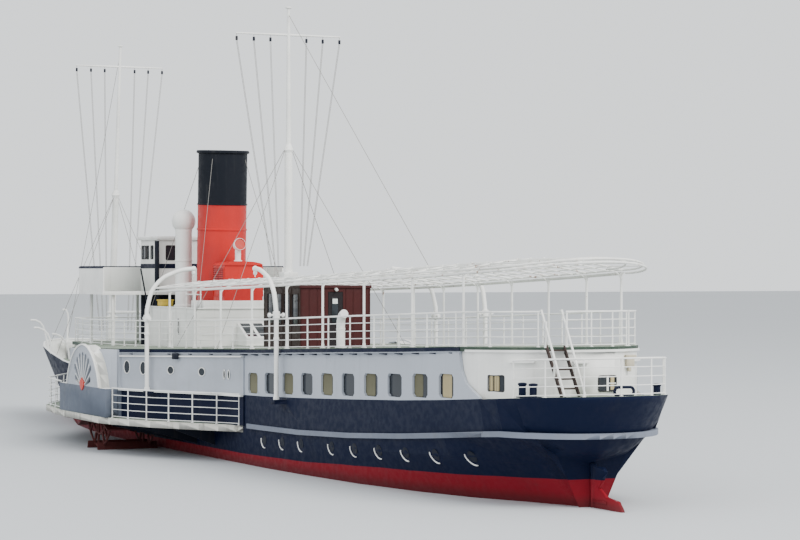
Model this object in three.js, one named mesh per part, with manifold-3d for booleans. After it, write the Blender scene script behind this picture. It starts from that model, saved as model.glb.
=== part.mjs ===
// Coastal paddle steamer, afloat, at half size. Origin on the centreline at the waterline,
// near amidships; +X to the bow, +Y to port, +Z up. Sizes below are metres of the real
// ship; every solid is turned into model millimetres when its mesh is made.
import * as THREE from 'three';
import { mergeVertices } from 'three/addons/utils/BufferGeometryUtils.js';
import Module from 'manifold-3d';

const wasm = await Module();
wasm.setup();

const SCALE = 500;            // model millimetres per metre of ship
const GAP = 0.0006;           // seam between pieces that touch
const PLATE = 0.10;           // side plating with its lining
const DECK_T = 0.14;          // promenade deck
const RAIL_H = 1.065;         // top rail above its deck
const AWNING_H = 2.33;        // awning edge above the promenade deck
const SHAFT_X = 3.40;         // paddle shaft
const SHAFT_Z = 1.65;
const SHAFT_R = 0.14;
const WHEEL_R = 2.10;         // paddle wheel over the floats
const BOX_Z = 1.90;           // centre of the paddle box arch
const BOX_R = 2.20;
const BOX_Y = 7.00;           // outer face of the paddle box
const CHEEK_Y = 6.50;         // where the arch stands clear of the deck
const SPONSON_Z = 1.40;       // sponson deck
const FUNNEL_X = 6.60;
const FUNNEL_R = 1.02;
const FUNNEL_H = 6.50;
const FUNNEL_RAKE = 2.3;      // degrees aft
const CASING_TOP = 5.50;
const MAIN_MAST_X = -0.90;
const MAIN_MAST_TOP = 17.23;
const FORE_MAST_X = 21.98;    // at the fore deck, raked aft
const FORE_MAST_TOP = 17.54;
const FORE_RAKE = 0.1016;     // metres aft per metre up
const BRIDGE_Z = 6.13;
const BRIDGE_TOP = 7.18;      // top of the bridge bulwark
const POST_X = -25.26;        // after face of the stern post
const RUDDER_X = -25.39;      // rudder axis
const STOCK_R = 0.10;
const WELL_END = -23.46;      // the hull is decked over at its top abaft this
const FRONT_X = 15.30;        // forward end of the plated sides
const AWNING_CAMBER = 0.22;
const AWNING_BAR = 0.09;

// Hull stations forward of the stern post: half-breadths at six fractions of the height
// from keel to hull top.
const FRACTIONS = [0, 0.12, 0.30, 0.60, 0.77, 1];
const BODY = [
  { x: POST_X, keel: -1.25, top: 3.29, b: [0.08, 0.10, 0.15, 1.00, 2.18, 2.57] },
  { x: -24.40, keel: -1.25, top: 3.235, b: [0.10, 0.22, 0.48, 1.45, 2.51, 2.77] },
  { x: -23.50, keel: -1.25, top: 3.18, b: [0.12, 0.36, 0.88, 1.88, 2.66, 2.84] },
  { x: -21.00, keel: -1.25, top: 3.03, b: [0.30, 1.00, 1.95, 2.66, 2.90, 2.99] },
  { x: -18.60, keel: -1.25, top: 2.91, b: [0.62, 1.70, 2.60, 3.08, 3.19, 3.23] },
  { x: -15.20, keel: -1.25, top: 2.78, b: [1.20, 2.50, 3.22, 3.46, 3.49, 3.50] },
  { x: -11.30, keel: -1.25, top: 2.64, b: [1.90, 3.05, 3.58, 3.69, 3.70, 3.70] },
  { x: -8.00, keel: -1.25, top: 2.54, b: [2.30, 3.35, 3.75, 3.80, 3.80, 3.80] },
  { x: -4.00, keel: -1.25, top: 2.47, b: [2.55, 3.50, 3.78, 3.84, 3.85, 3.85] },
  { x: 4.00, keel: -1.25, top: 2.45, b: [2.60, 3.52, 3.80, 3.85, 3.86, 3.86] },
  { x: 10.00, keel: -1.25, top: 2.50, b: [2.20, 3.30, 3.68, 3.78, 3.79, 3.80] },
  { x: 14.00, keel: -1.25, top: 2.66, b: [1.60, 2.85, 3.38, 3.60, 3.65, 3.70] },
  { x: 18.00, keel: -1.25, top: 2.92, b: [0.85, 2.10, 2.82, 3.25, 3.36, 3.50] },
  { x: 21.00, keel: -1.25, top: 3.18, b: [0.35, 1.40, 2.12, 2.70, 2.92, 3.22] },
  { x: 24.00, keel: -1.25, top: 3.40, b: [0.12, 0.74, 1.30, 1.95, 2.28, 2.72] },
  { x: 26.50, keel: -1.22, top: 3.50, b: [0.06, 0.30, 0.64, 1.20, 1.53, 1.98] },
  { x: 27.60, keel: -1.00, top: 3.53, b: [0.05, 0.16, 0.38, 0.84, 1.13, 1.52] },
  { x: 28.20, keel: -0.45, top: 3.55, b: [0.05, 0.12, 0.26, 0.60, 0.86, 1.20] },
  { x: 28.70, keel: 0.70, top: 3.56, b: [0.05, 0.10, 0.18, 0.42, 0.62, 0.88] },
  { x: 29.20, keel: 2.10, top: 3.565, b: [0.04, 0.07, 0.12, 0.25, 0.36, 0.50] },
  { x: 29.70, keel: 3.45, top: 3.57, b: [0.03, 0.04, 0.05, 0.06, 0.07, 0.08] },
];

// Counter stern: stations with the hull top there, its bottom on the centreline, and its
// plan at four levels as ellipses by centre, length aft of it and half-breadth.
const STERN = [
  { x: -27.20, top: 3.38 },
  { x: -27.10, top: 3.378 },
  { x: -26.90, top: 3.37 },
  { x: -26.50, top: 3.355 },
  { x: -26.20, top: 3.34 },
  { x: -25.80, top: 3.32 },
  { x: -25.28, top: 3.29 },
];
const COUNTER_BOTTOM = [
  { x: -27.20, z: 3.34 },
  { x: -26.50, z: 2.25 },
  { x: -26.20, z: 1.80 },
  { x: -25.80, z: 1.50 },
  { x: -25.28, z: 1.30 },
];
const COUNTER_PLAN = [
  { z: 1.20, centre: -22.80, length: 2.70, half: 1.35 },
  { z: 1.75, centre: -23.00, length: 3.20, half: 2.15 },
  { z: 2.25, centre: -23.50, length: 3.00, half: 2.70 },
  { z: 3.30, centre: -24.00, length: 3.20, half: 2.80 },
];

// After end of the promenade deck in plan, an ellipse, and the stations along it.
const DECK_END = { centre: -21.60, length: 3.84, half: 2.97 };
const DECK_END_X = [-25.44, -25.40, -25.25, -24.95, -24.50, -23.90, -23.10, -22.30];
const DECK_END_Z = 4.77;

// Promenade deck: half-breadth of its edge and height of its surface.
const PROMENADE_SIDE = [
  { x: -21.60, y: 2.97, z: 4.70 },
  { x: -18.85, y: 3.34, z: 4.60 },
  { x: -15.50, y: 3.63, z: 4.49 },
  { x: -11.60, y: 3.83, z: 4.36 },
  { x: -7.90, y: 3.95, z: 4.23 },
  { x: -6.00, y: 4.00, z: 4.18 },
  { x: -5.00, y: 4.26, z: 4.155 },
  { x: -3.20, y: 5.06, z: 4.115 },
  { x: -1.40, y: 5.92, z: 4.075 },
  { x: 0.40, y: 6.47, z: 4.035 },
  { x: 6.60, y: 6.47, z: 3.915 },
  { x: 8.20, y: 5.92, z: 3.885 },
  { x: 9.80, y: 5.30, z: 3.86 },
  { x: 11.50, y: 4.45, z: 3.85 },
  { x: 13.00, y: 3.98, z: 3.85 },
  { x: 16.00, y: 3.66, z: 3.87 },
];

// Outboard edge of the sponson, port side.
const SPONSON_EDGE = [
  { x: -6.40, y: 3.70 },
  { x: -5.70, y: 3.95 },
  { x: -5.00, y: 4.40 },
  { x: -4.20, y: 4.86 },
  { x: -3.40, y: 5.36 },
  { x: -2.10, y: 6.06 },
  { x: -0.90, y: 6.48 },
  { x: 0.30, y: 6.86 },
  { x: 1.20, y: 7.04 },
  { x: 5.80, y: 7.04 },
  { x: 8.00, y: 6.80 },
  { x: 10.30, y: 6.50 },
  { x: 12.40, y: 5.40 },
  { x: 14.60, y: 4.20 },
  { x: 15.80, y: 3.55 },
];

// Line of the sponson house walls in plan, port side, aft and forward of the paddle box.
const HOUSE_AFT = [[-6.20, 3.87], [-4.98, 4.18], [-3.20, 4.98], [-1.41, 5.84], [0.36, 6.40]];
const HOUSE_FORE = [[6.64, 6.40], [8.20, 5.84], [9.80, 5.22], [11.50, 4.37], [12.90, 3.86]];

// Awning stanchions, port side, in plan.
const STANCHIONS = [
  { x: 1.80, y: 3.94 },
  { x: -1.13, y: 3.94 },
  { x: -4.02, y: 3.94 },
  { x: -6.95, y: 3.82 },
  { x: -10.05, y: 3.71 },
  { x: -13.02, y: 3.58 },
  { x: -16.10, y: 3.40 },
  { x: -19.27, y: 3.12 },
  { x: -22.20, y: 2.75 },
];

const COLOURS = {
  navy: ['#14213c', 0.45, 0.0],
  boot: ['#7d1f2a', 0.55, 0.0],
  white: ['#e9ebe8', 0.5, 0.0],
  grey: ['#c3c9cf', 0.5, 0.0],
  red: ['#c63a2d', 0.5, 0.0],
  maroon: ['#4d2326', 0.55, 0.0],
  brown: ['#3a302b', 0.6, 0.0],
  deck: ['#7f8f7c', 0.8, 0.0],
  strake: ['#d8d7cf', 0.6, 0.0],
  steel: ['#6f757a', 0.5, 0.6],
};

const group = new THREE.Group();
group.name = 'paddle_steamer';

// Helpers for solids.

function solidFrom(positions, triangles) {
  const mesh = new wasm.Mesh({
    numProp: 3,
    vertProperties: Float32Array.from(positions),
    triVerts: Uint32Array.from(triangles),
  });
  return new wasm.Manifold(mesh);
}

function facingOut(positions, triangles) {
  const body = solidFrom(positions, triangles);
  if (body.volume() > 0) {
    return body;
  }
  const turned = triangles.slice();
  for (let k = 0; k < turned.length; k += 3) {
    turned[k] = triangles[k + 1];
    turned[k + 1] = triangles[k];
  }
  return solidFrom(positions, turned);
}

function fromGeometry(geometry) {
  const bare = new THREE.BufferGeometry();
  bare.setAttribute('position', geometry.getAttribute('position').clone());
  if (geometry.index) {
    bare.setIndex(geometry.index.clone());
  }
  const merged = mergeVertices(bare, 1e-5);
  const index = merged.index.array;
  const kept = [];
  for (let i = 0; i < index.length; i += 3) {
    const [a, b, c] = [index[i], index[i + 1], index[i + 2]];
    if (a !== b && b !== c && c !== a) {
      kept.push(a, b, c);
    }
  }
  return facingOut(merged.getAttribute('position').array, kept);
}

function join(list) {
  return list.reduce((sum, next) => sum.add(next));
}

function cut(body, list) {
  return list.reduce((sum, next) => sum.subtract(next), body);
}

function box(x0, x1, y0, y1, z0, z1) {
  const g = new THREE.BoxGeometry(x1 - x0, y1 - y0, z1 - z0);
  g.translate((x0 + x1) / 2, (y0 + y1) / 2, (z0 + z1) / 2);
  return fromGeometry(g);
}

function rod(a, b, r0, r1 = r0, sides = 6) {
  const from = new THREE.Vector3(...a);
  const to = new THREE.Vector3(...b);
  const along = to.clone().sub(from);
  const g = new THREE.CylinderGeometry(r1, r0, along.length(), sides);
  const turn = new THREE.Quaternion().setFromUnitVectors(
    new THREE.Vector3(0, 1, 0), along.clone().normalize());
  g.applyQuaternion(turn);
  const mid = from.add(to).multiplyScalar(0.5);
  g.translate(mid.x, mid.y, mid.z);
  return fromGeometry(g);
}

function turned(profile, sides) {
  const pts = profile.map(([r, z]) => new THREE.Vector2(r, z));
  const g = new THREE.LatheGeometry(pts, sides);
  g.rotateX(Math.PI / 2);
  return fromGeometry(g);
}

function ball(x, y, z, r, wide = 12, high = 8) {
  const g = new THREE.SphereGeometry(r, wide, high);
  g.rotateX(Math.PI / 2);
  g.translate(x, y, z);
  return fromGeometry(g);
}

// A flat outline in plan, raised from z0 to z1.
function prism(outline, z0, z1) {
  const shape = new THREE.Shape(outline.map(([x, y]) => new THREE.Vector2(x, y)));
  const g = new THREE.ExtrudeGeometry(shape, { depth: z1 - z0, bevelEnabled: false });
  g.translate(0, 0, z0);
  return fromGeometry(g);
}

// An outline in the XZ plane, thick in Y from y0 to y1.
function panel(outline, y0, y1) {
  const shape = new THREE.Shape(outline.map(([x, z]) => new THREE.Vector2(x, z)));
  const g = new THREE.ExtrudeGeometry(shape, { depth: y1 - y0, bevelEnabled: false });
  g.rotateX(Math.PI / 2);
  g.translate(0, y1, 0);
  return fromGeometry(g);
}

// An outline in the YZ plane, thick in X from x0 to x1.
function frame(outline, x0, x1) {
  const shape = new THREE.Shape(outline.map(([y, z]) => new THREE.Vector2(y, z)));
  const g = new THREE.ExtrudeGeometry(shape, { depth: x1 - x0, bevelEnabled: false });
  g.rotateZ(Math.PI / 2);
  g.rotateY(Math.PI / 2);
  g.translate(x0, 0, 0);
  return fromGeometry(g);
}

// Rings of points joined one to the next, the two ends closed. From the ring's
// point flip onwards the quads are split the other way, so that a form built
// on both sides of the centreline is a true mirror.
function loft(rings, flip = Infinity) {
  const n = rings[0].length;
  const positions = rings.flat(2);
  const triangles = [];
  for (let i = 0; i + 1 < rings.length; i += 1) {
    for (let j = 0; j < n; j += 1) {
      const a = i * n + j;
      const b = i * n + ((j + 1) % n);
      if (j < flip) {
        triangles.push(a, b, b + n, a, b + n, a + n);
      } else {
        triangles.push(a, b, a + n, b, b + n, a + n);
      }
    }
  }
  const last = (rings.length - 1) * n;
  for (let j = 1; j + 1 < n; j += 1) {
    triangles.push(0, j + 1, j);
    triangles.push(last, last + j, last + j + 1);
  }
  return facingOut(positions, triangles);
}

// A bar of w by h along points, upright in section.
function bar(points, w, h) {
  const rings = points.map((p, i) => {
    const before = points[Math.max(i - 1, 0)];
    const after = points[Math.min(i + 1, points.length - 1)];
    const dx = after[0] - before[0];
    const dy = after[1] - before[1];
    const length = Math.hypot(dx, dy) || 1;
    const nx = (-dy / length) * (w / 2);
    const ny = (dx / length) * (w / 2);
    return [
      [p[0] + nx, p[1] + ny, p[2] - h / 2],
      [p[0] - nx, p[1] - ny, p[2] - h / 2],
      [p[0] - nx, p[1] - ny, p[2] + h / 2],
      [p[0] + nx, p[1] + ny, p[2] + h / 2],
    ];
  });
  return loft(rings);
}

// A round bar along points that may climb.
function pipe(points, radii, sides = 8) {
  const pts = points.map((p) => new THREE.Vector3(...p));
  const side = new THREE.Vector3();
  const rings = pts.map((p, i) => {
    const ahead = pts[Math.min(i + 1, pts.length - 1)];
    const dir = ahead.clone().sub(pts[Math.max(i - 1, 0)]).normalize();
    if (i === 0) {
      side.set(1, 0, 0);
      if (Math.abs(dir.x) > 0.7) {
        side.set(0, 1, 0);
      }
    }
    side.addScaledVector(dir, -side.dot(dir)).normalize();
    const other = new THREE.Vector3().crossVectors(dir, side);
    const r = Array.isArray(radii) ? radii[i] : radii;
    const ring = [];
    for (let k = 0; k < sides; k += 1) {
      const a = (k / sides) * 2 * Math.PI;
      const q = p.clone().addScaledVector(side, r * Math.cos(a));
      q.addScaledVector(other, r * Math.sin(a));
      ring.push([q.x, q.y, q.z]);
    }
    return ring;
  });
  return loft(rings);
}

// A strip of wall t thick along a line in plan.
function wall(line, t, z0, z1) {
  const outer = [];
  const inner = [];
  line.forEach((p, i) => {
    const before = line[Math.max(i - 1, 0)];
    const after = line[Math.min(i + 1, line.length - 1)];
    const dx = after[0] - before[0];
    const dy = after[1] - before[1];
    const length = Math.hypot(dx, dy);
    outer.push([p[0], p[1]]);
    inner.push([p[0] + (dy / length) * t, p[1] - (dx / length) * t]);
  });
  return prism(outer.concat(inner.reverse()), z0, z1);
}

function mirrorY(body) {
  return body.mirror([0, 1, 0]);
}

function rounded(x0, x1, z0, z1, r) {
  const out = [];
  const corners = [
    [x1 - r, z0 + r, -90], [x1 - r, z1 - r, 0], [x0 + r, z1 - r, 90], [x0 + r, z0 + r, 180],
  ];
  corners.forEach(([cx, cz, start]) => {
    for (let k = 0; k <= 1; k += 1) {
      const a = ((start + 90 * k) * Math.PI) / 180;
      out.push([cx + r * Math.cos(a), cz + r * Math.sin(a)]);
    }
  });
  return out;
}

function add(name, body, colour) {
  const parts = body.decompose();
  if (parts.length !== 1) {
    const volumes = parts.map((p) => p.volume().toFixed(4)).join(', ');
    throw new Error(`${name} is ${parts.length} bodies: ${volumes}`);
  }
  const out = body.getMesh();
  const positions = new Float32Array((out.vertProperties.length / out.numProp) * 3);
  for (let i = 0; i < positions.length / 3; i += 1) {
    for (let k = 0; k < 3; k += 1) {
      positions[i * 3 + k] = out.vertProperties[i * out.numProp + k] * SCALE;
    }
  }
  const g = new THREE.BufferGeometry();
  g.setAttribute('position', new THREE.BufferAttribute(positions, 3));
  g.setIndex(Array.from(out.triVerts));
  g.computeVertexNormals();
  const [hex, roughness, metalness] = COLOURS[colour];
  const material = new THREE.MeshStandardMaterial({ color: hex, roughness, metalness });
  const mesh = new THREE.Mesh(g, material);
  mesh.name = name;
  group.add(mesh);
}

// Lines of the ship.

function along(table, at, key, axis = 'x') {
  let i = 0;
  while (i + 2 < table.length && table[i + 1][axis] < at) {
    i += 1;
  }
  const a = table[i];
  const b = table[i + 1];
  const t = Math.min(Math.max((at - a[axis]) / (b[axis] - a[axis]), 0), 1);
  return key(a) + (key(b) - key(a)) * t;
}

// Half-breadth at x of an ellipse in plan, inset all round.
function ellipseHalf(plan, x, inset = 0) {
  const u = (plan.centre - x) / (plan.length - inset);
  return (plan.half - inset) * Math.sqrt(Math.max(1 - u * u, 0));
}

function counterHalf(x, z) {
  const plan = {};
  ['centre', 'length', 'half'].forEach((name) => {
    plan[name] = along(COUNTER_PLAN, z, (s) => s[name], 'z');
  });
  return Math.max(ellipseHalf(plan, x), 0.05);
}

const counterZ = (x) => along(COUNTER_BOTTOM, x, (s) => s.z);
const COUNTER = STERN.map(({ x, top }) => {
  const keel = counterZ(x);
  const b = FRACTIONS.map((f) => counterHalf(x, keel + (top - keel) * f));
  b[0] = 0.05;
  return { x, keel, top, b };
});
const STATIONS = COUNTER.concat(BODY);
const DECK_AFT = DECK_END_X.map((x) => ({
  x,
  y: Math.max(ellipseHalf(DECK_END, x), 0.1),
  z: Math.max(DECK_END_Z - (x - DECK_END_X[0]) * 0.0164, 4.715),
}));
const PROMENADE = DECK_AFT.concat(PROMENADE_SIDE);

const hullTop = (x) => along(STATIONS, x, (s) => s.top);
const hullHalf = (x) => along(STATIONS, x, (s) => s.b[s.b.length - 1]);
const promZ = (x) => along(PROMENADE, x, (s) => s.z);
const mainDeck = (x) => hullTop(x) - 1.15;
const foreDeck = (x) => hullTop(x) - 0.95;

// The hull's moulded form, grown outwards by off and raised above the top by extra.
function moulded(off, extra) {
  const rings = STATIONS.map((s) => {
    const side = FRACTIONS.map((f, i) => [
      Math.max(s.b[i] + off, 0.008), s.keel + (s.top - s.keel) * f,
    ]);
    side[0][1] -= Math.max(off, 0);
    if (extra > 0) {
      side.push([side[side.length - 1][0], s.top + extra]);
    }
    const port = side.map(([y, z]) => [s.x, y, z]);
    const starboard = side.map(([y, z]) => [s.x, -y, z]).reverse();
    return port.concat(starboard);
  });
  rings[0].forEach((p) => { p[0] -= off; });
  rings[rings.length - 1].forEach((p) => { p[0] += off; });
  return loft(rings, rings[0].length / 2);
}

// Everything between two heights that follow x, over x0 to x1.
function band(x0, x1, low, high, half = 12) {
  const xs = new Set([x0, x1]);
  STATIONS.forEach((s) => xs.add(s.x));
  PROMENADE.forEach((s) => xs.add(s.x));
  const list = [...xs].filter((x) => x >= x0 && x <= x1).sort((a, b) => a - b);
  return loft(list.map((x) => [
    [x, half, low(x)], [x, half, high(x)], [x, -half, high(x)], [x, -half, low(x)],
  ]));
}

const underProm = (x) => promZ(x) - DECK_T - GAP;
const overProm = (x) => promZ(x) + GAP;
const deckCut = band(-30, 18, () => -5, overProm);

// Hull.

const hullSolid = moulded(0, 0);
const hullClear = moulded(GAP, 2.6);
const overMain = band(WELL_END, FRONT_X, mainDeck, () => 9);
const overFore = band(FRONT_X - 0.001, 31, foreDeck, () => 9);
const enginePit = box(1.4, 10.2, -2.4, 2.4, -0.95, 3);
const hull = cut(hullSolid, [overMain, overFore, enginePit]);
add('hull', hull, 'navy');

add('engine_block', box(1.7, 9.8, -2.1, 2.1, -0.95 + GAP, 1.05), 'steel');

// Plated sides from the main deck to the promenade deck, with the saloon windows.
const WINDOWS = 10;
const WINDOW_FIRST = -6.55;
const WINDOW_STEP = 1.60;
const WINDOW_W = 0.93;
const WINDOW_H = 0.74;
const shell = moulded(0, 2.6).subtract(moulded(-PLATE, 2.6));
const sideZone = band(WELL_END + GAP, FRONT_X - 0.06, (x) => mainDeck(x) + GAP, underProm);
const openings = [];
for (let i = 0; i < WINDOWS; i += 1) {
  const fore = WINDOW_FIRST - WINDOW_STEP * i;
  const sill = 2.61 + 0.0567 * i;
  openings.push(panel(rounded(fore - WINDOW_W, fore, sill, sill + WINDOW_H, 0.1), -5, 5));
}
// The after end of the plating sweeps down to the hull top.
const afterSweep = panel([
  [-22.20, 5.30], [-22.20, 4.61], [-22.34, 4.01], [-22.62, 3.63], [-23.10, 3.38],
  [-23.44, 3.24], [-23.80, 3.19], [-23.80, 5.30],
].reverse(), -5, 5);
const shaftHole = rod([SHAFT_X, -8, SHAFT_Z], [SHAFT_X, 8, SHAFT_Z], 0.175, 0.175, 16);
const bothSides = cut(shell.intersect(sideZone), openings.concat([shaftHole, afterSweep]));
const portHalf = box(-31, 31, 0.4, 9, -3, 9);
const davitFoot = box(-10.13, -9.77, 3.72, 4.20, 2.38, 2.53 - GAP);
const plating = bothSides.intersect(portHalf).add(davitFoot);
add('side_plating_port', plating, 'grey');
add('side_plating_starboard', mirrorY(plating), 'grey');

// Bulkhead across the forward end of the plated sides.
const bulkheadFoot = (x) => Math.max(mainDeck(x), foreDeck(x)) + GAP;
const frontZone = band(FRONT_X - 0.05, FRONT_X + 0.05, bulkheadFoot, underProm);
const frontInside = moulded(-PLATE - 0.012, 2.6);
add('fore_bulkhead', frontInside.intersect(frontZone), 'white');

// Bulwark round the fore deck.
const bulwarkZone = band(FRONT_X + 0.06, 29.69, (x) => foreDeck(x) + GAP, (x) => hullTop(x) + 0.001);
const bulwark = moulded(0, 0).subtract(moulded(-0.08, 0.5)).intersect(bulwarkZone);
add('bow_bulwark', bulwark, 'navy');

// White rubbing strake along both sides and round the stern.
const STRAKE_H = 0.17;
const STRAKE_OUT = 0.09;
const STRAKE = [
  { x: -27.60, z: 2.27 },
  { x: -24.40, z: 2.27 },
  { x: -23.60, z: 2.22 },
  { x: -21.00, z: 2.03 },
  { x: -18.50, z: 1.86 },
  { x: -15.10, z: 1.68 },
  { x: -11.20, z: 1.55 },
  { x: -6.60, z: 1.50 },
];
const strakeBand = loft(STRAKE.map((s) => [
  [s.x, 9, s.z - STRAKE_H], [s.x, 9, s.z], [s.x, -9, s.z], [s.x, -9, s.z - STRAKE_H],
]));
const knuckle = COUNTER_PLAN.find((s) => s.z === 2.25);
const strakeStern = [];
for (let k = 0; k <= 20; k += 1) {
  const a = Math.PI * (0.5 + k / 20);
  strakeStern.push([
    knuckle.centre + (knuckle.length + STRAKE_OUT) * Math.cos(a),
    (knuckle.half + STRAKE_OUT) * Math.sin(a),
  ]);
}
const strakeRing = prism(strakeStern, 1, 3);
const strakeForm = moulded(STRAKE_OUT, 0).add(strakeRing).intersect(strakeBand);
add('rubbing_strake', strakeForm.subtract(moulded(GAP, 0)), 'strake');

// White house under the after end of the promenade deck, open at the fore end.
const HOUSE_FRONT = -22.10;
const HOUSE_T = 0.09;
const HOUSE_X = [-22.10, -22.60, -23.10, -23.60, -24.10, -24.50, -24.85, -25.10, -25.27, -25.37];
function houseLine(inset, reach) {
  const half = (x) => Math.min(
    ellipseHalf(DECK_END, x, inset), hullHalf(x) - PLATE - 0.015 - (inset - 0.03));
  const tip = DECK_END.centre - DECK_END.length + inset;
  const port = HOUSE_X.filter((x) => x > tip).map((x) => [x, half(x)]);
  port[0][0] += reach;
  const starboard = port.map(([x, y]) => [x, -y]).reverse();
  return port.concat(starboard);
}
const houseZone = band(-26, HOUSE_FRONT, (x) => hullTop(x) + GAP, underProm);
const houseWall = prism(houseLine(0.03, 0), 2, 6).subtract(prism(houseLine(0.03 + HOUSE_T, 1), 1, 7));
const sternWindows = [
  box(-24.00, -23.46, 1.5, 3.2, 3.41, 3.90),
  box(-24.00, -23.46, -3.2, -1.5, 3.41, 3.90),
  box(-26, -25.1, -0.77, -0.17, 3.44, 3.90),
];
add('stern_house', cut(houseWall.intersect(houseZone), sternWindows), 'white');

// Promenade deck.

const deckRings = PROMENADE.map((s) => [
  [s.x, s.y, s.z - DECK_T], [s.x, s.y, s.z], [s.x, -s.y, s.z], [s.x, -s.y, s.z - DECK_T],
]);
add('promenade_deck', loft(deckRings), 'deck');

// Sponsons, houses and paddle boxes.

const edgeLine = SPONSON_EDGE.map((p) => [p.x, p.y]);
const sponsonPlan = edgeLine.concat([[15.8, 2.5], [-6.4, 2.5]]);
const wheelGap = box(SHAFT_X - 2.18, SHAFT_X + 2.18, 3.95, 6.78, -3, 6);
let sponson = prism(sponsonPlan, SPONSON_Z - 0.25, SPONSON_Z);
const KNEES = [-3.0, -1.0, 0.6, 6.4, 8.2, 10.4];
KNEES.forEach((x) => {
  const reach = along(SPONSON_EDGE, x, (p) => p.y) - 0.25;
  const knee = [[3.2, 0.25], [3.2, 1.2], [reach, 1.2], [reach, 1.08]];
  sponson = sponson.add(frame(knee, x - 0.05, x + 0.05));
});
sponson = cut(sponson, [hullClear, wheelGap]);
add('sponson_port', sponson, 'strake');
add('sponson_starboard', mirrorY(sponson), 'strake');

const deckClear = loft(PROMENADE.map((s) => {
  const half = s.y + 0.002;
  const under = s.z - DECK_T - GAP;
  return [[s.x, half, under], [s.x, half, 9], [s.x, -half, 9], [s.x, -half, under]];
}));
function arch(r, low) {
  const out = [[SHAFT_X - r, low], [SHAFT_X + r, low]];
  for (let k = 0; k <= 12; k += 1) {
    const a = (k / 12) * Math.PI;
    out.push([SHAFT_X + r * Math.cos(a), BOX_Z + r * Math.sin(a)]);
  }
  return out;
}
const lowZ = SPONSON_Z + GAP;
const drumHollow = panel(arch(BOX_R - 0.07, 0), 3, BOX_Y - 0.1);
const drum = panel(arch(BOX_R, lowZ), 3.96, BOX_Y - 0.02).subtract(drumHollow);
const facePlate = [[0.42, lowZ], [6.58, lowZ], [6.58, 2.5], [0.42, 2.5]];
const face = panel(facePlate, BOX_Y - 0.1, BOX_Y);
const faceTop = panel(arch(BOX_R + 0.05, lowZ), BOX_Y - 0.1, BOX_Y);
const cheekPlate = [[0.42, lowZ], [6.58, lowZ], [6.58, 3.9], [0.42, 4.0]];
const cheek = panel(cheekPlate, CHEEK_Y, CHEEK_Y + 0.06);
const slots = [];
for (let k = -4; k <= 4; k += 1) {
  const a = (k * 17 * Math.PI) / 180;
  const ox = SHAFT_X;
  const oz = 2.40;
  const dir = [Math.sin(a), Math.cos(a)];
  const side = [dir[1], -dir[0]];
  const inner = 0.34;
  const outer = Math.abs(k) === 4 ? 1.05 : 1.36;
  const w0 = 0.035;
  const w1 = 0.115;
  slots.push(panel([
    [ox + dir[0] * inner + side[0] * w0, oz + dir[1] * inner + side[1] * w0],
    [ox + dir[0] * outer + side[0] * w1, oz + dir[1] * outer + side[1] * w1],
    [ox + dir[0] * (outer + 0.08), oz + dir[1] * (outer + 0.08)],
    [ox + dir[0] * outer - side[0] * w1, oz + dir[1] * outer - side[1] * w1],
    [ox + dir[0] * inner - side[0] * w0, oz + dir[1] * inner - side[1] * w0],
  ].reverse(), BOX_Y - 0.3, BOX_Y + 0.3));
}
const insideArch = panel(arch(BOX_R - 0.05, 0), 3, 8);
const ledges = join([
  box(0.42, 6.58, CHEEK_Y, BOX_Y - 0.02, 2.42, 2.5),
  box(0.42, 0.50, CHEEK_Y, BOX_Y - 0.02, lowZ, 2.5),
  box(6.50, 6.58, CHEEK_Y, BOX_Y - 0.02, lowZ, 2.5),
]).subtract(insideArch);
let paddleBox = join([drum, face, faceTop, ledges, cheek.subtract(insideArch)]);
paddleBox = cut(paddleBox, slots.concat([deckClear, hullClear]));
add('paddle_box_port', paddleBox, 'grey');
add('paddle_box_starboard', mirrorY(paddleBox), 'grey');

const houseBand = band(-8, 14, () => lowZ, underProm);
const davitStep = box(-1.78, -1.42, 5.6, 6.10, 2.40, 2.53 - GAP);
const hullSkin = moulded(0.004, 2.6);
const houseAft = wall(HOUSE_AFT, 0.08, 1, 5)
  .intersect(houseBand)
  .add(davitStep)
  .subtract(hullSkin);
add('sponson_house_aft_port', houseAft, 'grey');
add('sponson_house_aft_starboard', mirrorY(houseAft), 'grey');
const houseFore = wall(HOUSE_FORE, 0.08, 1, 5).intersect(houseBand).subtract(hullSkin);
add('sponson_house_fore_port', houseFore, 'grey');
add('sponson_house_fore_starboard', mirrorY(houseFore), 'grey');

// Paddle wheels.

const FLOATS = 8;
const ROUND = 16;
const wheelParts = [rod([SHAFT_X, -6.72, SHAFT_Z], [SHAFT_X, 6.72, SHAFT_Z], SHAFT_R, SHAFT_R, 10)];
[1, -1].forEach((side) => {
  const low = side > 0 ? 4.12 : -6.62;
  [4.45, 6.30].forEach((y) => {
    const place = (body) => body.rotate([90, 0, 0]).translate([SHAFT_X, side * y, SHAFT_Z]);
    const rim = [[1.52, -0.04], [1.62, -0.04], [1.62, 0.04], [1.52, 0.04], [1.52, -0.04]];
    const hub = [[0, -0.1], [0.32, -0.1], [0.32, 0.1], [0, 0.1]];
    wheelParts.push(place(turned(rim, ROUND)));
    wheelParts.push(place(turned(hub, FLOATS)));
  });
  for (let k = 0; k < FLOATS; k += 1) {
    const degrees = ((k + 0.5) / FLOATS) * 360;
    const turn = (body) => body.rotate([0, degrees, 0]).translate([SHAFT_X, 0, SHAFT_Z]);
    wheelParts.push(turn(box(WHEEL_R - 0.62, WHEEL_R, low, low + 2.5, -0.03, 0.03)));
    [4.45, 6.30].forEach((y) => {
      wheelParts.push(turn(box(0.25, 1.56, side * y - 0.025, side * y + 0.025, -0.05, 0.05)));
    });
  }
});
add('paddle_wheels', join(wheelParts), 'boot');

// Rudder.

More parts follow.
